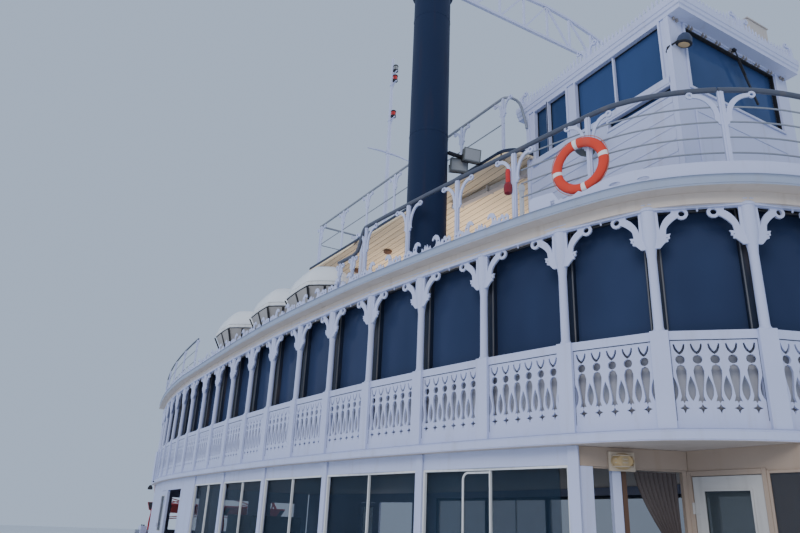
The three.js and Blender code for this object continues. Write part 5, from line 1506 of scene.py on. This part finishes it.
class BOAT_OT_pilothouse(bpy.types.Operator):
    """Pilothouse trim: roof with dentils and cresting, window frames, wiper and searchlight"""

    bl_idname = "boat.pilothouse"
    bl_label = "Pilothouse"

    WINDOWS = ((10.02, 11.68, 9.48, 10.42), (9.37, 9.80, 9.48, 10.42), (9.03, 9.33, 9.48, 10.42),
               (10.65, 11.78, 9.20, 9.33))

    def roof(self):
        """Slab with a stepped cornice, and small dentils in pairs below its front."""
        x0, x1, y1 = PILOT_AFT - 0.23, PILOT_FRONT + 0.23, PILOT_SIDE + 0.05
        top, low = PILOT_ROOF_TOP, PILOT_WALL_TOP
        plate = slab([(x0, y1), (x1, y1), (x1, -y1), (x0, -y1)], [
            (0.0, top), (0.0, top - 0.10), (-0.012, top - 0.11), (-0.012, top - 0.17), (-0.03, top - 0.185),
            (-0.03, low + 0.001)])
        y = np.linspace(-PILOT_SIDE + 0.12, PILOT_SIDE - 0.12, 9)
        pair = merge([box((k - 0.016, -0.045, -0.02), (k + 0.016, 0.0, 0.030)) for k in (-0.035, 0.035)])
        at = np.stack((np.full(9, PILOT_FRONT), y, np.full(9, low)), -1)
        return plate, repeat(pair, at, *AHEAD)

    def crest_run(self, a, b, z):
        """Picket cresting between two corners: pointed pales whose height rises to a peak at the middle and
        at both ends, with a pair of scrolls beside each peak."""
        a, b = np.asarray(a, float), np.asarray(b, float)
        u = unit(np.append(b - a, 0))
        w = np.cross(u, UP)
        foot = np.append(a, z)
        long = np.linalg.norm(b - a)
        n = int(long / 0.075)
        run = (np.arange(n) + 0.5) * long / n
        tall = 0.13 + 0.12 * np.abs(np.cos(2 * np.pi * run / long)) ** 3
        pale = half_and_mirror([(0.022, 0), (0.016, 0.45), (0.026, 0.55), (0.012, 0.75), (0, 1)])
        shapes = [place(cut_plate(pale * (1, h), [], 0.014), foot + x * u, u, UP, w)
                  for x, h in zip(run, tall)]
        curl = rail_scroll(0.20, 0.20)
        for x, way in ((0.06, 1), (long / 2 - 0.02, -1), (long / 2 + 0.02, 1), (long - 0.06, -1)):
            shapes.append(place(curl, foot + (0, 0, 0.26) + x * u + w * 0.012, way * u, UP, w))
        shapes.append(place(box((0, 0, -0.012), (long, 0.035, 0.012)), foot, u, UP, w))
        return merge(shapes)

    def execute(self, context):
        plate, dentils = self.roof()
        x0, x1, y1 = PILOT_AFT - 0.19, PILOT_FRONT + 0.19, PILOT_SIDE + 0.01
        z = PILOT_ROOF_TOP - 0.004
        cresting = merge([self.crest_run(a, b, z) for a, b in (
            ((x0, -y1), (x1, -y1)), ((x0, y1), (x1, y1)), ((x1, -y1), (x1, y1)), ((x0, -y1), (x0, y1)))])
        lamp, lens, iron = self.searchlight()
        build("pilothouse_cornice", [
            (plate, "white_enamel"), (dentils, "dentil_tan"), (cresting, "white_enamel"),
            (lamp, "buoy_white"), (lens, "clear_lens"), (iron, "dark_iron")], replaced=("pilothouse_roof",))
        self.windows()
        self.fittings()
        return {"FINISHED"}

    def searchlight(self):
        """Searchlight: a drum on a fork and post, with its lens ahead."""
        top = PILOT_ROOF_TOP
        x, z = PILOT_FRONT - 0.35, top + 0.42
        aim = ((x, 0, z), *AHEAD)
        drum = lathe([(0.06, -0.17), (0.12, -0.155), (0.17, -0.10), (0.18, 0.0), (0.18, 0.15), (0.19, 0.155),
                      (0.19, 0.17), (0.17, 0.17)], 28)
        lens = lathe([(0.168, 0.15), (0.16, 0.168), (0.09, 0.185)], 28)
        fork = tube([(x, -0.20, z), (x, -0.215, z - 0.12), (x, -0.15, z - 0.22), (x, 0, z - 0.25),
                     (x, 0.15, z - 0.22), (x, 0.215, z - 0.12), (x, 0.20, z)], 0.016, 8)
        post = lathe([(0.09, top - 0.01), (0.09, top + 0.012), (0.035, top + 0.02),
                      (0.035, z - 0.24)], 16, x, 0)
        return place(drum, *aim), place(lens, *aim), merge([fork, post])

    def windows(self):
        """Frames and seals of the side and front windows, and on each side a mullion, a sill rail, clapboards
        below it, a foot board and two corner boards."""
        bars, seals = [], []
        aft, fore = PILOT_AFT, PILOT_FRONT
        for sign in SIGNS:
            face = abeam(sign)
            for first, last, low, high in self.WINDOWS:
                at = ((first + last) / 2, sign * PILOT_SIDE, 0)
                half = (last - first) / 2
                bars.append(place(frame_bars(half, low, high, 0.035, 0.022, PROUD), at, *face))
                seal = frame_bars(half - 0.012, low + 0.012, high - 0.012, 0.012, 0.02, -0.066)
                seals.append(place(seal, at, *face))
            boards = [box((10.795, 9.47, -0.055), (10.825, 10.43, -0.005)),
                      box((8.95, 9.36, PROUD), (fore - 0.09, 9.47, 0.032))]
            boards += [box((aft + 0.09, z, PROUD), (fore - 0.09, z + 0.168, 0.008))
                       for z in np.arange(DECK_3 + 0.16, 9.1, 0.19)]
            boards.append(box((aft, DECK_3 + GAP, PROUD), (fore, DECK_3 + 0.12, 0.018)))
            boards += [box((x - 0.04, DECK_3 + GAP, PROUD), (x + 0.04, PILOT_WALL_TOP, 0.02))
                       for x in (aft + 0.04, fore - 0.04)]
            bars += placed(boards, (0, sign * PILOT_SIDE, 0), *face)
        front = (fore, 0, 0)
        bars.append(place(frame_bars(1.055, 9.385, 10.425, 0.04, 0.024, PROUD), front, *AHEAD))
        seals.append(place(frame_bars(1.016, 9.424, 10.386, 0.024, 0.055, -0.058), front, *AHEAD))
        build("pilothouse_window_trim", [(bars, "white_enamel"), (seals, "black_rubber")], bevel=TRIM_BEVEL)

    def fittings(self):
        """Wiper on the front window, corner lamp on its arm, bare banner board, lamp on the side and a box on
        the roof."""
        front, side, roof = PILOT_FRONT, -PILOT_SIDE, PILOT_ROOF_TOP
        x = front + 0.02
        dark = [square_bar((x + 0.03, 0.03, 10.44), (x + 0.03, 0.22, 10.05), 0.022, 0.014, up=(1, 0, 0)),
                square_bar((x + 0.012, 0.11, 10.28), (x + 0.012, 0.44, 9.62), 0.045, 0.02, up=(1, 0, 0)),
                bar((x - 0.02, 0.03, 10.44), (x + 0.045, 0.03, 10.44), 0.035, 14)]
        aim = ((front + 0.10, -1.22, 10.03),
               unit((0.96, 0.1, -0.26)), unit((-0.1, 1, 0)), unit((0.26, 0.0, 0.96)))
        rim = lathe([(0.102, -0.074), (0.110, -0.070), (0.110, -0.050), (0.102, -0.046)], 24)
        dome = lathe([(0.076, -0.070), (0.100, -0.062), (0.104, -0.016), (0.094, 0.036), (0.060, 0.080),
                      (0.016, 0.094)], 24)
        lens = lathe([(0.072, -0.082), (0.080, -0.070), (0.080, -0.065)], 20)
        dark.append(place(rim, *aim))
        arm = [(front - 0.10, side, 9.88), (front - 0.05, side - 0.03, 9.92), (front + 0.06, -1.33, 9.98),
               (front + 0.09, -1.27, 10.01)]
        dark.append(tube(arm, 0.014, 8))
        board = [box((front + 0.002, -1.02, 8.02), (front + 0.016, 1.02, 8.98)),
                 place(frame_bars(1.02, 8.02, 8.98, 0.03, 0.022, 0.001), (front, 0, 0), *AHEAD)]
        chest = [box((front - 0.27, 0.45, roof - 0.004), (front + 0.08, 0.95, roof + 0.50)),
                 box((front - 0.29, 0.43, roof + 0.50), (front + 0.10, 0.97, roof + 0.52))]
        shade = lathe([(0.03, 0.13), (0.05, 0.12), (0.07, 0.06), (0.13, 0.0), (0.16, -0.05), (0.165, -0.07),
                       (0.155, -0.072), (0.12, -0.005), (0.06, 0.05)], 24)
        x = 10.35
        tilt = ((1, 0, 0), unit((0, 0.9, -0.4)), unit((0, 0.4, 0.9)))
        side_lamp = [place(shade, (x, side - 0.20, 9.02), *tilt),
                     tube([(x, side, 9.16), (x, side - 0.10, 9.20), (x, side - 0.17, 9.13)], 0.014, 8)]
        build("pilothouse_fittings", [
            (dark, "dark_iron"), (place(dome, *aim), "lamp_blue"), (place(lens, *aim), "light_cover"),
            (board, "white_enamel"), (chest, "vent_tan"), (side_lamp, "lamp_grey")],
            bevel=TRIM_BEVEL)


class BOAT_OT_mast(bpy.types.Operator):
    """Folding mast with its yard, ladder of lanterns and fittings"""

    bl_idname = "boat.mast"
    bl_label = "Mast"

    LANTERNS = ((16.92, "clear_lens"), (16.55, "red_lens"), (15.25, "red_lens"))

    def execute(self, context):
        x, hinge = MAST_X, DECK_3 + 0.35
        pole = lathe([(0.075, hinge - 0.15), (0.08, hinge - 0.145), (0.08, hinge + 1.5), (0.062, 13.0),
                      (0.045, MAST_TOP - 0.02), (0.03, MAST_TOP)], 20, x, 0)
        white = [pole]
        for z, r in ((hinge + 1.5, 0.078), (13.95, 0.064), (15.1, 0.056), (16.4, 0.05)):
            collar = [(r, z - 0.03), (r + 0.015, z - 0.025), (r + 0.015, z + 0.025), (r, z + 0.03)]
            white.append(lathe(collar, 20, x, 0))
        yard = [(x, -0.70, 13.93), (x, -0.35, 13.97), (x, 0, 13.985), (x, 0.35, 13.97), (x, 0.70, 13.93)]
        white.append(tube(yard, (0.018, 0.030, 0.036, 0.030, 0.018), 10))
        iron = [bar((x, -0.15, hinge), (x, 0.15, hinge), 0.03, 16)]
        glass = {"clear_lens": [], "red_lens": []}
        for z, finish in self.LANTERNS:
            shelf, lens = self.lantern(x, z, iron)
            white += shelf
            glass[finish].append(lens)
        iron.append(bar((x - 0.02, 0, MAST_TOP - 0.4), (x - 0.02, 0, MAST_TOP - 0.02), 0.008, 6))
        lenses = [(glass[finish], finish) for finish in ("red_lens", "clear_lens")]
        build("mast_dressed", [(white, "white_enamel"), (iron, "dark_iron"), *lenses],
              body="mast_body", replaced=("mast",))
        return {"FINISHED"}

    def lantern(self, x, z, iron):
        """Shelf with its strut and a ribbed lens ahead of the mast; base, cap and four guard rods go to the
        iron."""
        at = x + 0.2
        shelf = [box((x, -0.02, z - 0.15), (x + 0.29, 0.02, z - 0.125)),
                 square_bar((x + 0.03, 0, z - 0.30), (x + 0.22, 0, z - 0.15), 0.02)]
        base = [(0.075, z - 0.124), (0.085, z - 0.11), (0.08, z - 0.075), (0.06, z - 0.07)]
        cap = [(0.062, z + 0.065), (0.085, z + 0.07), (0.078, z + 0.09), (0.03, z + 0.115), (0.012, z + 0.12)]
        lens = [(0.055, z - 0.07), (0.066, z - 0.05), (0.060, z - 0.02), (0.068, z), (0.060, z + 0.02),
                (0.066, z + 0.05), (0.055, z + 0.066)]
        iron += [lathe(base, 18, at, 0), lathe(cap, 18, at, 0)]
        for a in np.radians((45, 135, 225, 315)):
            dx, y = 0.074 * math.cos(a), 0.074 * math.sin(a)
            iron.append(bar((at + dx, y, z - 0.09), (at + dx, y, z + 0.08), 0.005, 5))
        return shelf, lathe(lens, 18, at, 0)


RAFTS = ((3.70, 2.89), (1.77, 3.06), (-0.68, 3.23))
RAFT_PLAN = np.array([(0.65, -0.62), (1.07, 0), (0.65, 0.62), (-0.65, 0.62), (-1.07, 0), (-0.65, -0.62)])


def cut_corners(loop, share):
    """Closed loop with each corner swapped for two points, a share of the way along the sides that meet."""
    after = np.roll(loop, -1, 0)
    return np.stack((loop + share * (after - loop), after + share * (loop - after)), 1).reshape(-1, 2)


class BOAT_OT_rafts(bpy.types.Operator):
    """Life rafts: hexagonal canisters with a pale rim, a domed lid and slanted legs on two sills"""

    bl_idname = "boat.rafts"
    bl_label = "Life rafts"

    def rings(self, centre, profile):
        """Closed shell: at each height over the deck the rounded hexagon is scaled by the profile's share."""
        plan = cut_corners(cut_corners(RAFT_PLAN, 0.10), 0.3)
        profile = np.asarray(profile, float)
        n, m = len(profile), len(plan)
        flat = np.asarray(centre) + profile[:, None, :1] * plan
        height = np.broadcast_to(DECK_3 + profile[:, None, 1:], (n, m, 1))
        return np.concatenate((flat, height), -1).reshape(-1, 3), capped(n, m)

    def legs(self, centre):
        """Slanted legs under the hexagon's corners and the middles of its sides."""
        corners = np.concatenate((RAFT_PLAN, (RAFT_PLAN + np.roll(RAFT_PLAN, -1, 0)) / 2))
        foot, head = (np.column_stack((centre + corners * share, np.full(12, DECK_3 + high)))
                      for share, high in ((0.615, 0.10), (0.972, 0.675)))
        return [square_bar(a, b, 0.045, 0.020, up=unit((*(b - a)[:2], 0.001))) for a, b in zip(foot, head)]

    def cradle(self, sign):
        """Two sills under the row of rafts and a pair of bearers across them under each raft."""
        (fore_x, fore_y), (aft_x, aft_y) = RAFTS[0], RAFTS[-1]
        slope = (fore_y - aft_y) / (fore_x - aft_x)

        def line(at, off):
            """Point beside the line through the rafts, which leans with the deck's edge."""
            return at, sign * (aft_y + off + slope * (at - aft_x)), DECK_3 + GAP + 0.05

        sills = [square_bar(line(aft_x - 0.70, off), line(fore_x + 0.70, off), 0.10) for off in (-0.28, 0.28)]
        low, high = DECK_3 + 0.100, DECK_3 + 0.112
        return sills + [box((x + dx - 0.04, sign * y - 0.40, low), (x + dx + 0.04, sign * y + 0.40, high))
                        for x, y in RAFTS for dx in (-0.42, 0.42)]

    def execute(self, context):
        for side, sign in SIDES:
            lids, rims, bellies, dark = [], [], [], []
            for x, y in RAFTS:
                centre = np.array((x, sign * y))
                bellies.append(self.rings(centre, [
                    (0.585, 0.108), (0.60, 0.112), (0.955, 0.665), (0.955, 0.694)]))
                rims.append(self.rings(centre, [
                    (0.95, 0.704), (0.990, 0.704), (1.0, 0.712), (1.0, 0.774), (0.990, 0.782),
                    (0.95, 0.782)]))
                dark += [self.rings(centre, [(0.90, z), (0.978, z), (0.978, z + 0.010), (0.90, z + 0.010)])
                         for z in (0.694, 0.782)]
                lids.append(self.rings(centre, [
                    (0.90, 0.791), (0.962, 0.792), (0.960, 0.815), (0.945, 0.87), (0.895, 0.965),
                    (0.80, 1.075), (0.66, 1.185), (0.50, 1.265), (0.32, 1.315), (0.14, 1.337),
                    (0.03, 1.340)]))
                plate = box((-0.09, -0.035, 0), (0.09, 0.035, 0.022))
                dark.append(place(plate, (x + 0.30, sign * (y + 0.375), DECK_3 + 1.085), (1, 0, 0),
                                  unit((0, sign * 0.72, -0.60)), unit((0, sign * 0.60, 0.72))))
                dark += self.legs(centre)
            build(f"raft_canisters_{side}", [
                (lids, "raft_shell"), (rims, "buoy_white"), (bellies, "raft_belly"),
                (dark, "black_rubber"), (self.cradle(sign), "galvanised")],
                replaced=(f"life_rafts_{side}",))
        return {"FINISHED"}


class BOAT_OT_paddle_wheel(bpy.types.Operator):
    """Wheel dressing: float plates with bolts, braces between the spiders, hub rings, the beams' bolts"""

    bl_idname = "boat.paddle_wheel"
    bl_label = "Paddle wheel"

    BOLT = [(0.026, 0.0), (0.026, 0.006), (0.016, 0.008), (0.016, 0.022), (0.008, 0.026)]

    def arm(self, i, centre, bolt):
        """What is on one arm: a plate on the float at each spider, three rows of bolts through the float and
        two slanted braces, which change their slant from arm to arm."""
        a = 2 * math.pi * i / WHEEL["arms"]
        out = np.array((math.sin(a), 0, math.cos(a)))
        side = np.array((math.cos(a), 0, -math.sin(a)))
        spiders = WHEEL["spiders"]
        bolts = []
        for r in (1.70, 1.90, 2.10):
            at = np.array([centre + out * r + side * 0.065 + (0, y, 0) for y in spiders])
            bolts.append(repeat(bolt, at, (0, 1, 0), out, side))
        plate = box((-0.09, 1.62, 0.0655), (0.09, 2.16, 0.074))
        plates = [place(plate, centre + (0, y, 0), (0, 1, 0), out, side) for y in spiders]
        outer, inner = (1.05, 1.55) if i % 2 == 0 else (1.55, 1.05)
        braces = [bar(centre + out * outer + (0, y0, 0), centre + out * inner + (0, y1, 0), 0.018, 8)
                  for y0, y1 in ((-2.22, -0.03), (2.22, 0.03))]
        return plates, bolts, braces

    def execute(self, context):
        centre = np.array((WHEEL["x"], 0, WHEEL["z"]))
        bolt = lathe(self.BOLT, 8)
        plates, bolts, braces, hubs = [], [], [], []
        for i in range(WHEEL["arms"]):
            on_arm = self.arm(i, centre, bolt)
            plates += on_arm[0]
            bolts += on_arm[1]
            braces += on_arm[2]
        ring = lathe([(0.335, -0.045), (0.345, -0.03), (0.345, 0.03), (0.335, 0.045)], 36)
        for y in WHEEL["spiders"]:
            hubs.append(place(ring, centre + (0, y, 0), (1, 0, 0), (0, 0, -1), (0, 1, 0)))
            for k in range(12):
                b = 2 * math.pi * (k + 0.5) / 12
                radial = np.array((math.sin(b), 0, math.cos(b)))
                for way in (-1, 1):
                    at = centre + (0, y + way * 0.060, 0) + radial * 0.24
                    hubs.append(place(bolt, at, (1, 0, 0), (0, 0, 1), (0, way, 0)))
        build("wheel_fastenings", [(plates, "dark_iron"), (bolts, "dark_iron"),
                                   (hubs, "wheel_enamel"), (braces, "wheel_enamel")],
              body="paddle_wheel_body")
        iron = []
        x, z = WHEEL["x"], WHEEL["z"]
        for sign in SIGNS:
            y = sign * WHEEL["beam_y"]
            iron += [bar((x + dx, y, z + 0.23), (x + dx, y, z + 0.29), 0.028, 6) for dx in (-0.21, 0.21)]
            iron += [bar((at, y - 0.135, high), (at, y + 0.135, high), 0.02, 6)
                     for at in np.arange(-10.7, -13.2, -0.6) for high in (2.36, 2.44)]
        build("beam_bolts", [(iron, "dark_iron")])
        return {"FINISHED"}


class BOAT_OT_house_trim(bpy.types.Operator):
    """Panel joints and a sill moulding on the main house, and the bitts' crossbars on the foredeck"""

    bl_idname = "boat.house_trim"
    bl_label = "House trim"

    def execute(self, context):
        white, iron = [], []
        board = box((-0.07, HOUSE_LOW, PROUD), (0.07, DECK_2_UNDER - 0.001, 0.03))
        sill = np.array([(PROUD, 2.78), (0.028, 2.785), (0.034, 2.80), (0.028, 2.83), (PROUD, 2.86)])
        x, z = 13.3, MAIN_DECK + 0.26
        for sign in SIGNS:
            for i in (*HOUSE_WINDOWS, 13):
                point, u, w = facing(on_side(sign, i), HOUSE_LINE)
                white.append(place(board, point, u, UP, w))
            line = [edge(on_side(sign, i), HOUSE_LINE) for i in range(CORNER, 14)]
            white.append(sweep(line, sill * (-sign, 1)))
            iron.append(bar((x - 0.30, sign * 1.25, z), (x + 0.30, sign * 1.25, z), 0.03, 12))
        build("house_pilasters", [(white, "white_enamel")], bevel=TRIM_BEVEL)
        build("bitt_bars", [(iron, "dark_iron")])
        return {"FINISHED"}


class BOAT_OT_stage(bpy.types.Operator):
    """Pale floor at the waterline, soft light and the camera at the photograph's angle"""

    bl_idname = "boat.stage"
    bl_label = "Stage"

    FLOOR_HALF = 90

    # Name, place, aim, size, power and colour of each lamp
    LAMPS = (
        ("key", (32, -30, 26), (0, 0, 6), 22, 7600, (1.0, 0.97, 0.93)),
        ("fill", (-20, -34, 14), (0, 0, 6), 26, 3600, (0.86, 0.92, 1.0)),
        ("canopy_3", (3.2, -0.4, 8.3), (3.2, -0.5, 9.5), 2.0, 32, (1.0, 0.86, 0.74)),
        ("canopy_6", (6.4, -0.4, 8.3), (6.4, -0.5, 9.5), 2.0, 32, (1.0, 0.86, 0.74)),
        ("back", (10, 34, 30), (2, 0, 8), 20, 9000, (1.0, 0.95, 0.85)),
    )

    # Camera: where it stands, its right and its forward direction, its lens and its sensor's width in mm
    EYE = (16.767, -8.287, 3.585)
    RIGHT = (0.5012, 0.8644, 0.0405)
    FORWARD = (-0.81635, 0.45679, 0.35344)
    LENS = 30.42
    SENSOR = 36.0

    def lamp(self, name, at, aim, size, power, colour):
        """Round area lamp that lights the boat and isn't seen itself."""
        light = bpy.data.lights.new(name, "AREA")
        light.shape = "DISK"
        light.size = size
        light.energy = power
        light.color = colour
        lamp = bpy.data.objects.new(name, light)
        lamp.matrix_world = (Vector(aim) - Vector(at)).to_track_quat("-Z", "Y").to_matrix().to_4x4()
        lamp.location = at
        lamp.visible_camera = lamp.visible_glossy = lamp.visible_transmission = False
        bpy.context.scene.collection.objects.link(lamp)

    def floor(self):
        """Pale square floor at the height of the waterline."""
        f = Finish("floor_finish")
        f.set(Base_Color=f.mix((0.74, 0.77, 0.80, 1), (0.80, 0.82, 0.84, 1), f.noise(0.4, 3)), Roughness=0.6)
        mesh = bpy.data.meshes.new("floor")
        far = self.FLOOR_HALF
        corners = [(x, y, WATERLINE) for x, y in ((-far, -far), (far, -far), (far, far), (-far, far))]
        mesh.from_pydata(corners, [], [(0, 1, 2, 3)])
        mesh.materials.append(f.material)
        floor = bpy.data.objects.new("floor", mesh)
        bpy.context.scene.collection.objects.link(floor)

    def camera(self):
        """Camera turned so that its axes run along right, up and backwards."""
        camera = bpy.data.cameras.new("camera")
        camera.sensor_width = self.SENSOR
        camera.lens = self.LENS
        camera.clip_end = 500
        eye = bpy.data.objects.new("camera", camera)
        forward = Vector(self.FORWARD).normalized()
        right = Vector(self.RIGHT)
        right = (right - right.dot(forward) * forward).normalized()
        turn = Matrix((right, right.cross(forward), -forward)).transposed()
        eye.matrix_world = Matrix.Translation(self.EYE) @ turn.to_4x4()
        bpy.context.scene.collection.objects.link(eye)
        bpy.context.scene.camera = eye

    def execute(self, context):
        self.floor()
        world = bpy.data.worlds.new("sky")
        world.use_nodes = True
        sky = world.node_tree.nodes["Background"].inputs
        sky["Color"].default_value = (0.62, 0.76, 1.0, 1)
        sky["Strength"].default_value = 0.72
        context.scene.world = world
        for lamp in self.LAMPS:
            self.lamp(*lamp)
        self.camera()
        return {"FINISHED"}


STEPS = (
    BOAT_OT_stage, BOAT_OT_finishes, BOAT_OT_decks, BOAT_OT_colonnade, BOAT_OT_window_trim,
    BOAT_OT_house_trim, BOAT_OT_upper_rails, BOAT_OT_stacks, BOAT_OT_canopy, BOAT_OT_pilothouse,
    BOAT_OT_mast, BOAT_OT_rafts, BOAT_OT_paddle_wheel,
)


class BOAT_PT_panel(bpy.types.Panel):
    """Sizes, colours and the building steps"""

    bl_label = "Boat"
    bl_idname = "BOAT_PT_panel"
    bl_space_type = "VIEW_3D"
    bl_region_type = "UI"
    bl_category = "Boat"

    def draw(self, context):
        for group in (context.scene.boat_sizes, context.scene.boat_colours):
            for name in group.__annotations__:
                self.layout.prop(group, name)
        for step in STEPS:
            self.layout.operator(step.bl_idname)


CLASSES = (BoatSizes, BoatColours, *STEPS, BOAT_PT_panel)


def register():
    """Adds the classes and the two groups of properties to Blender."""
    for item in CLASSES:
        bpy.utils.register_class(item)
    bpy.types.Scene.boat_sizes = PointerProperty(type=BoatSizes)
    bpy.types.Scene.boat_colours = PointerProperty(type=BoatColours)


def unregister():
    """Takes away what register added."""
    del bpy.types.Scene.boat_sizes
    del bpy.types.Scene.boat_colours
    for item in reversed(CLASSES):
        bpy.utils.unregister_class(item)


def main():
    """Runs every step in order."""
    register()
    for step in STEPS:
        area, verb = step.bl_idname.split(".")
        getattr(getattr(bpy.ops, area), verb)()


if __name__ == "__main__":
    main()
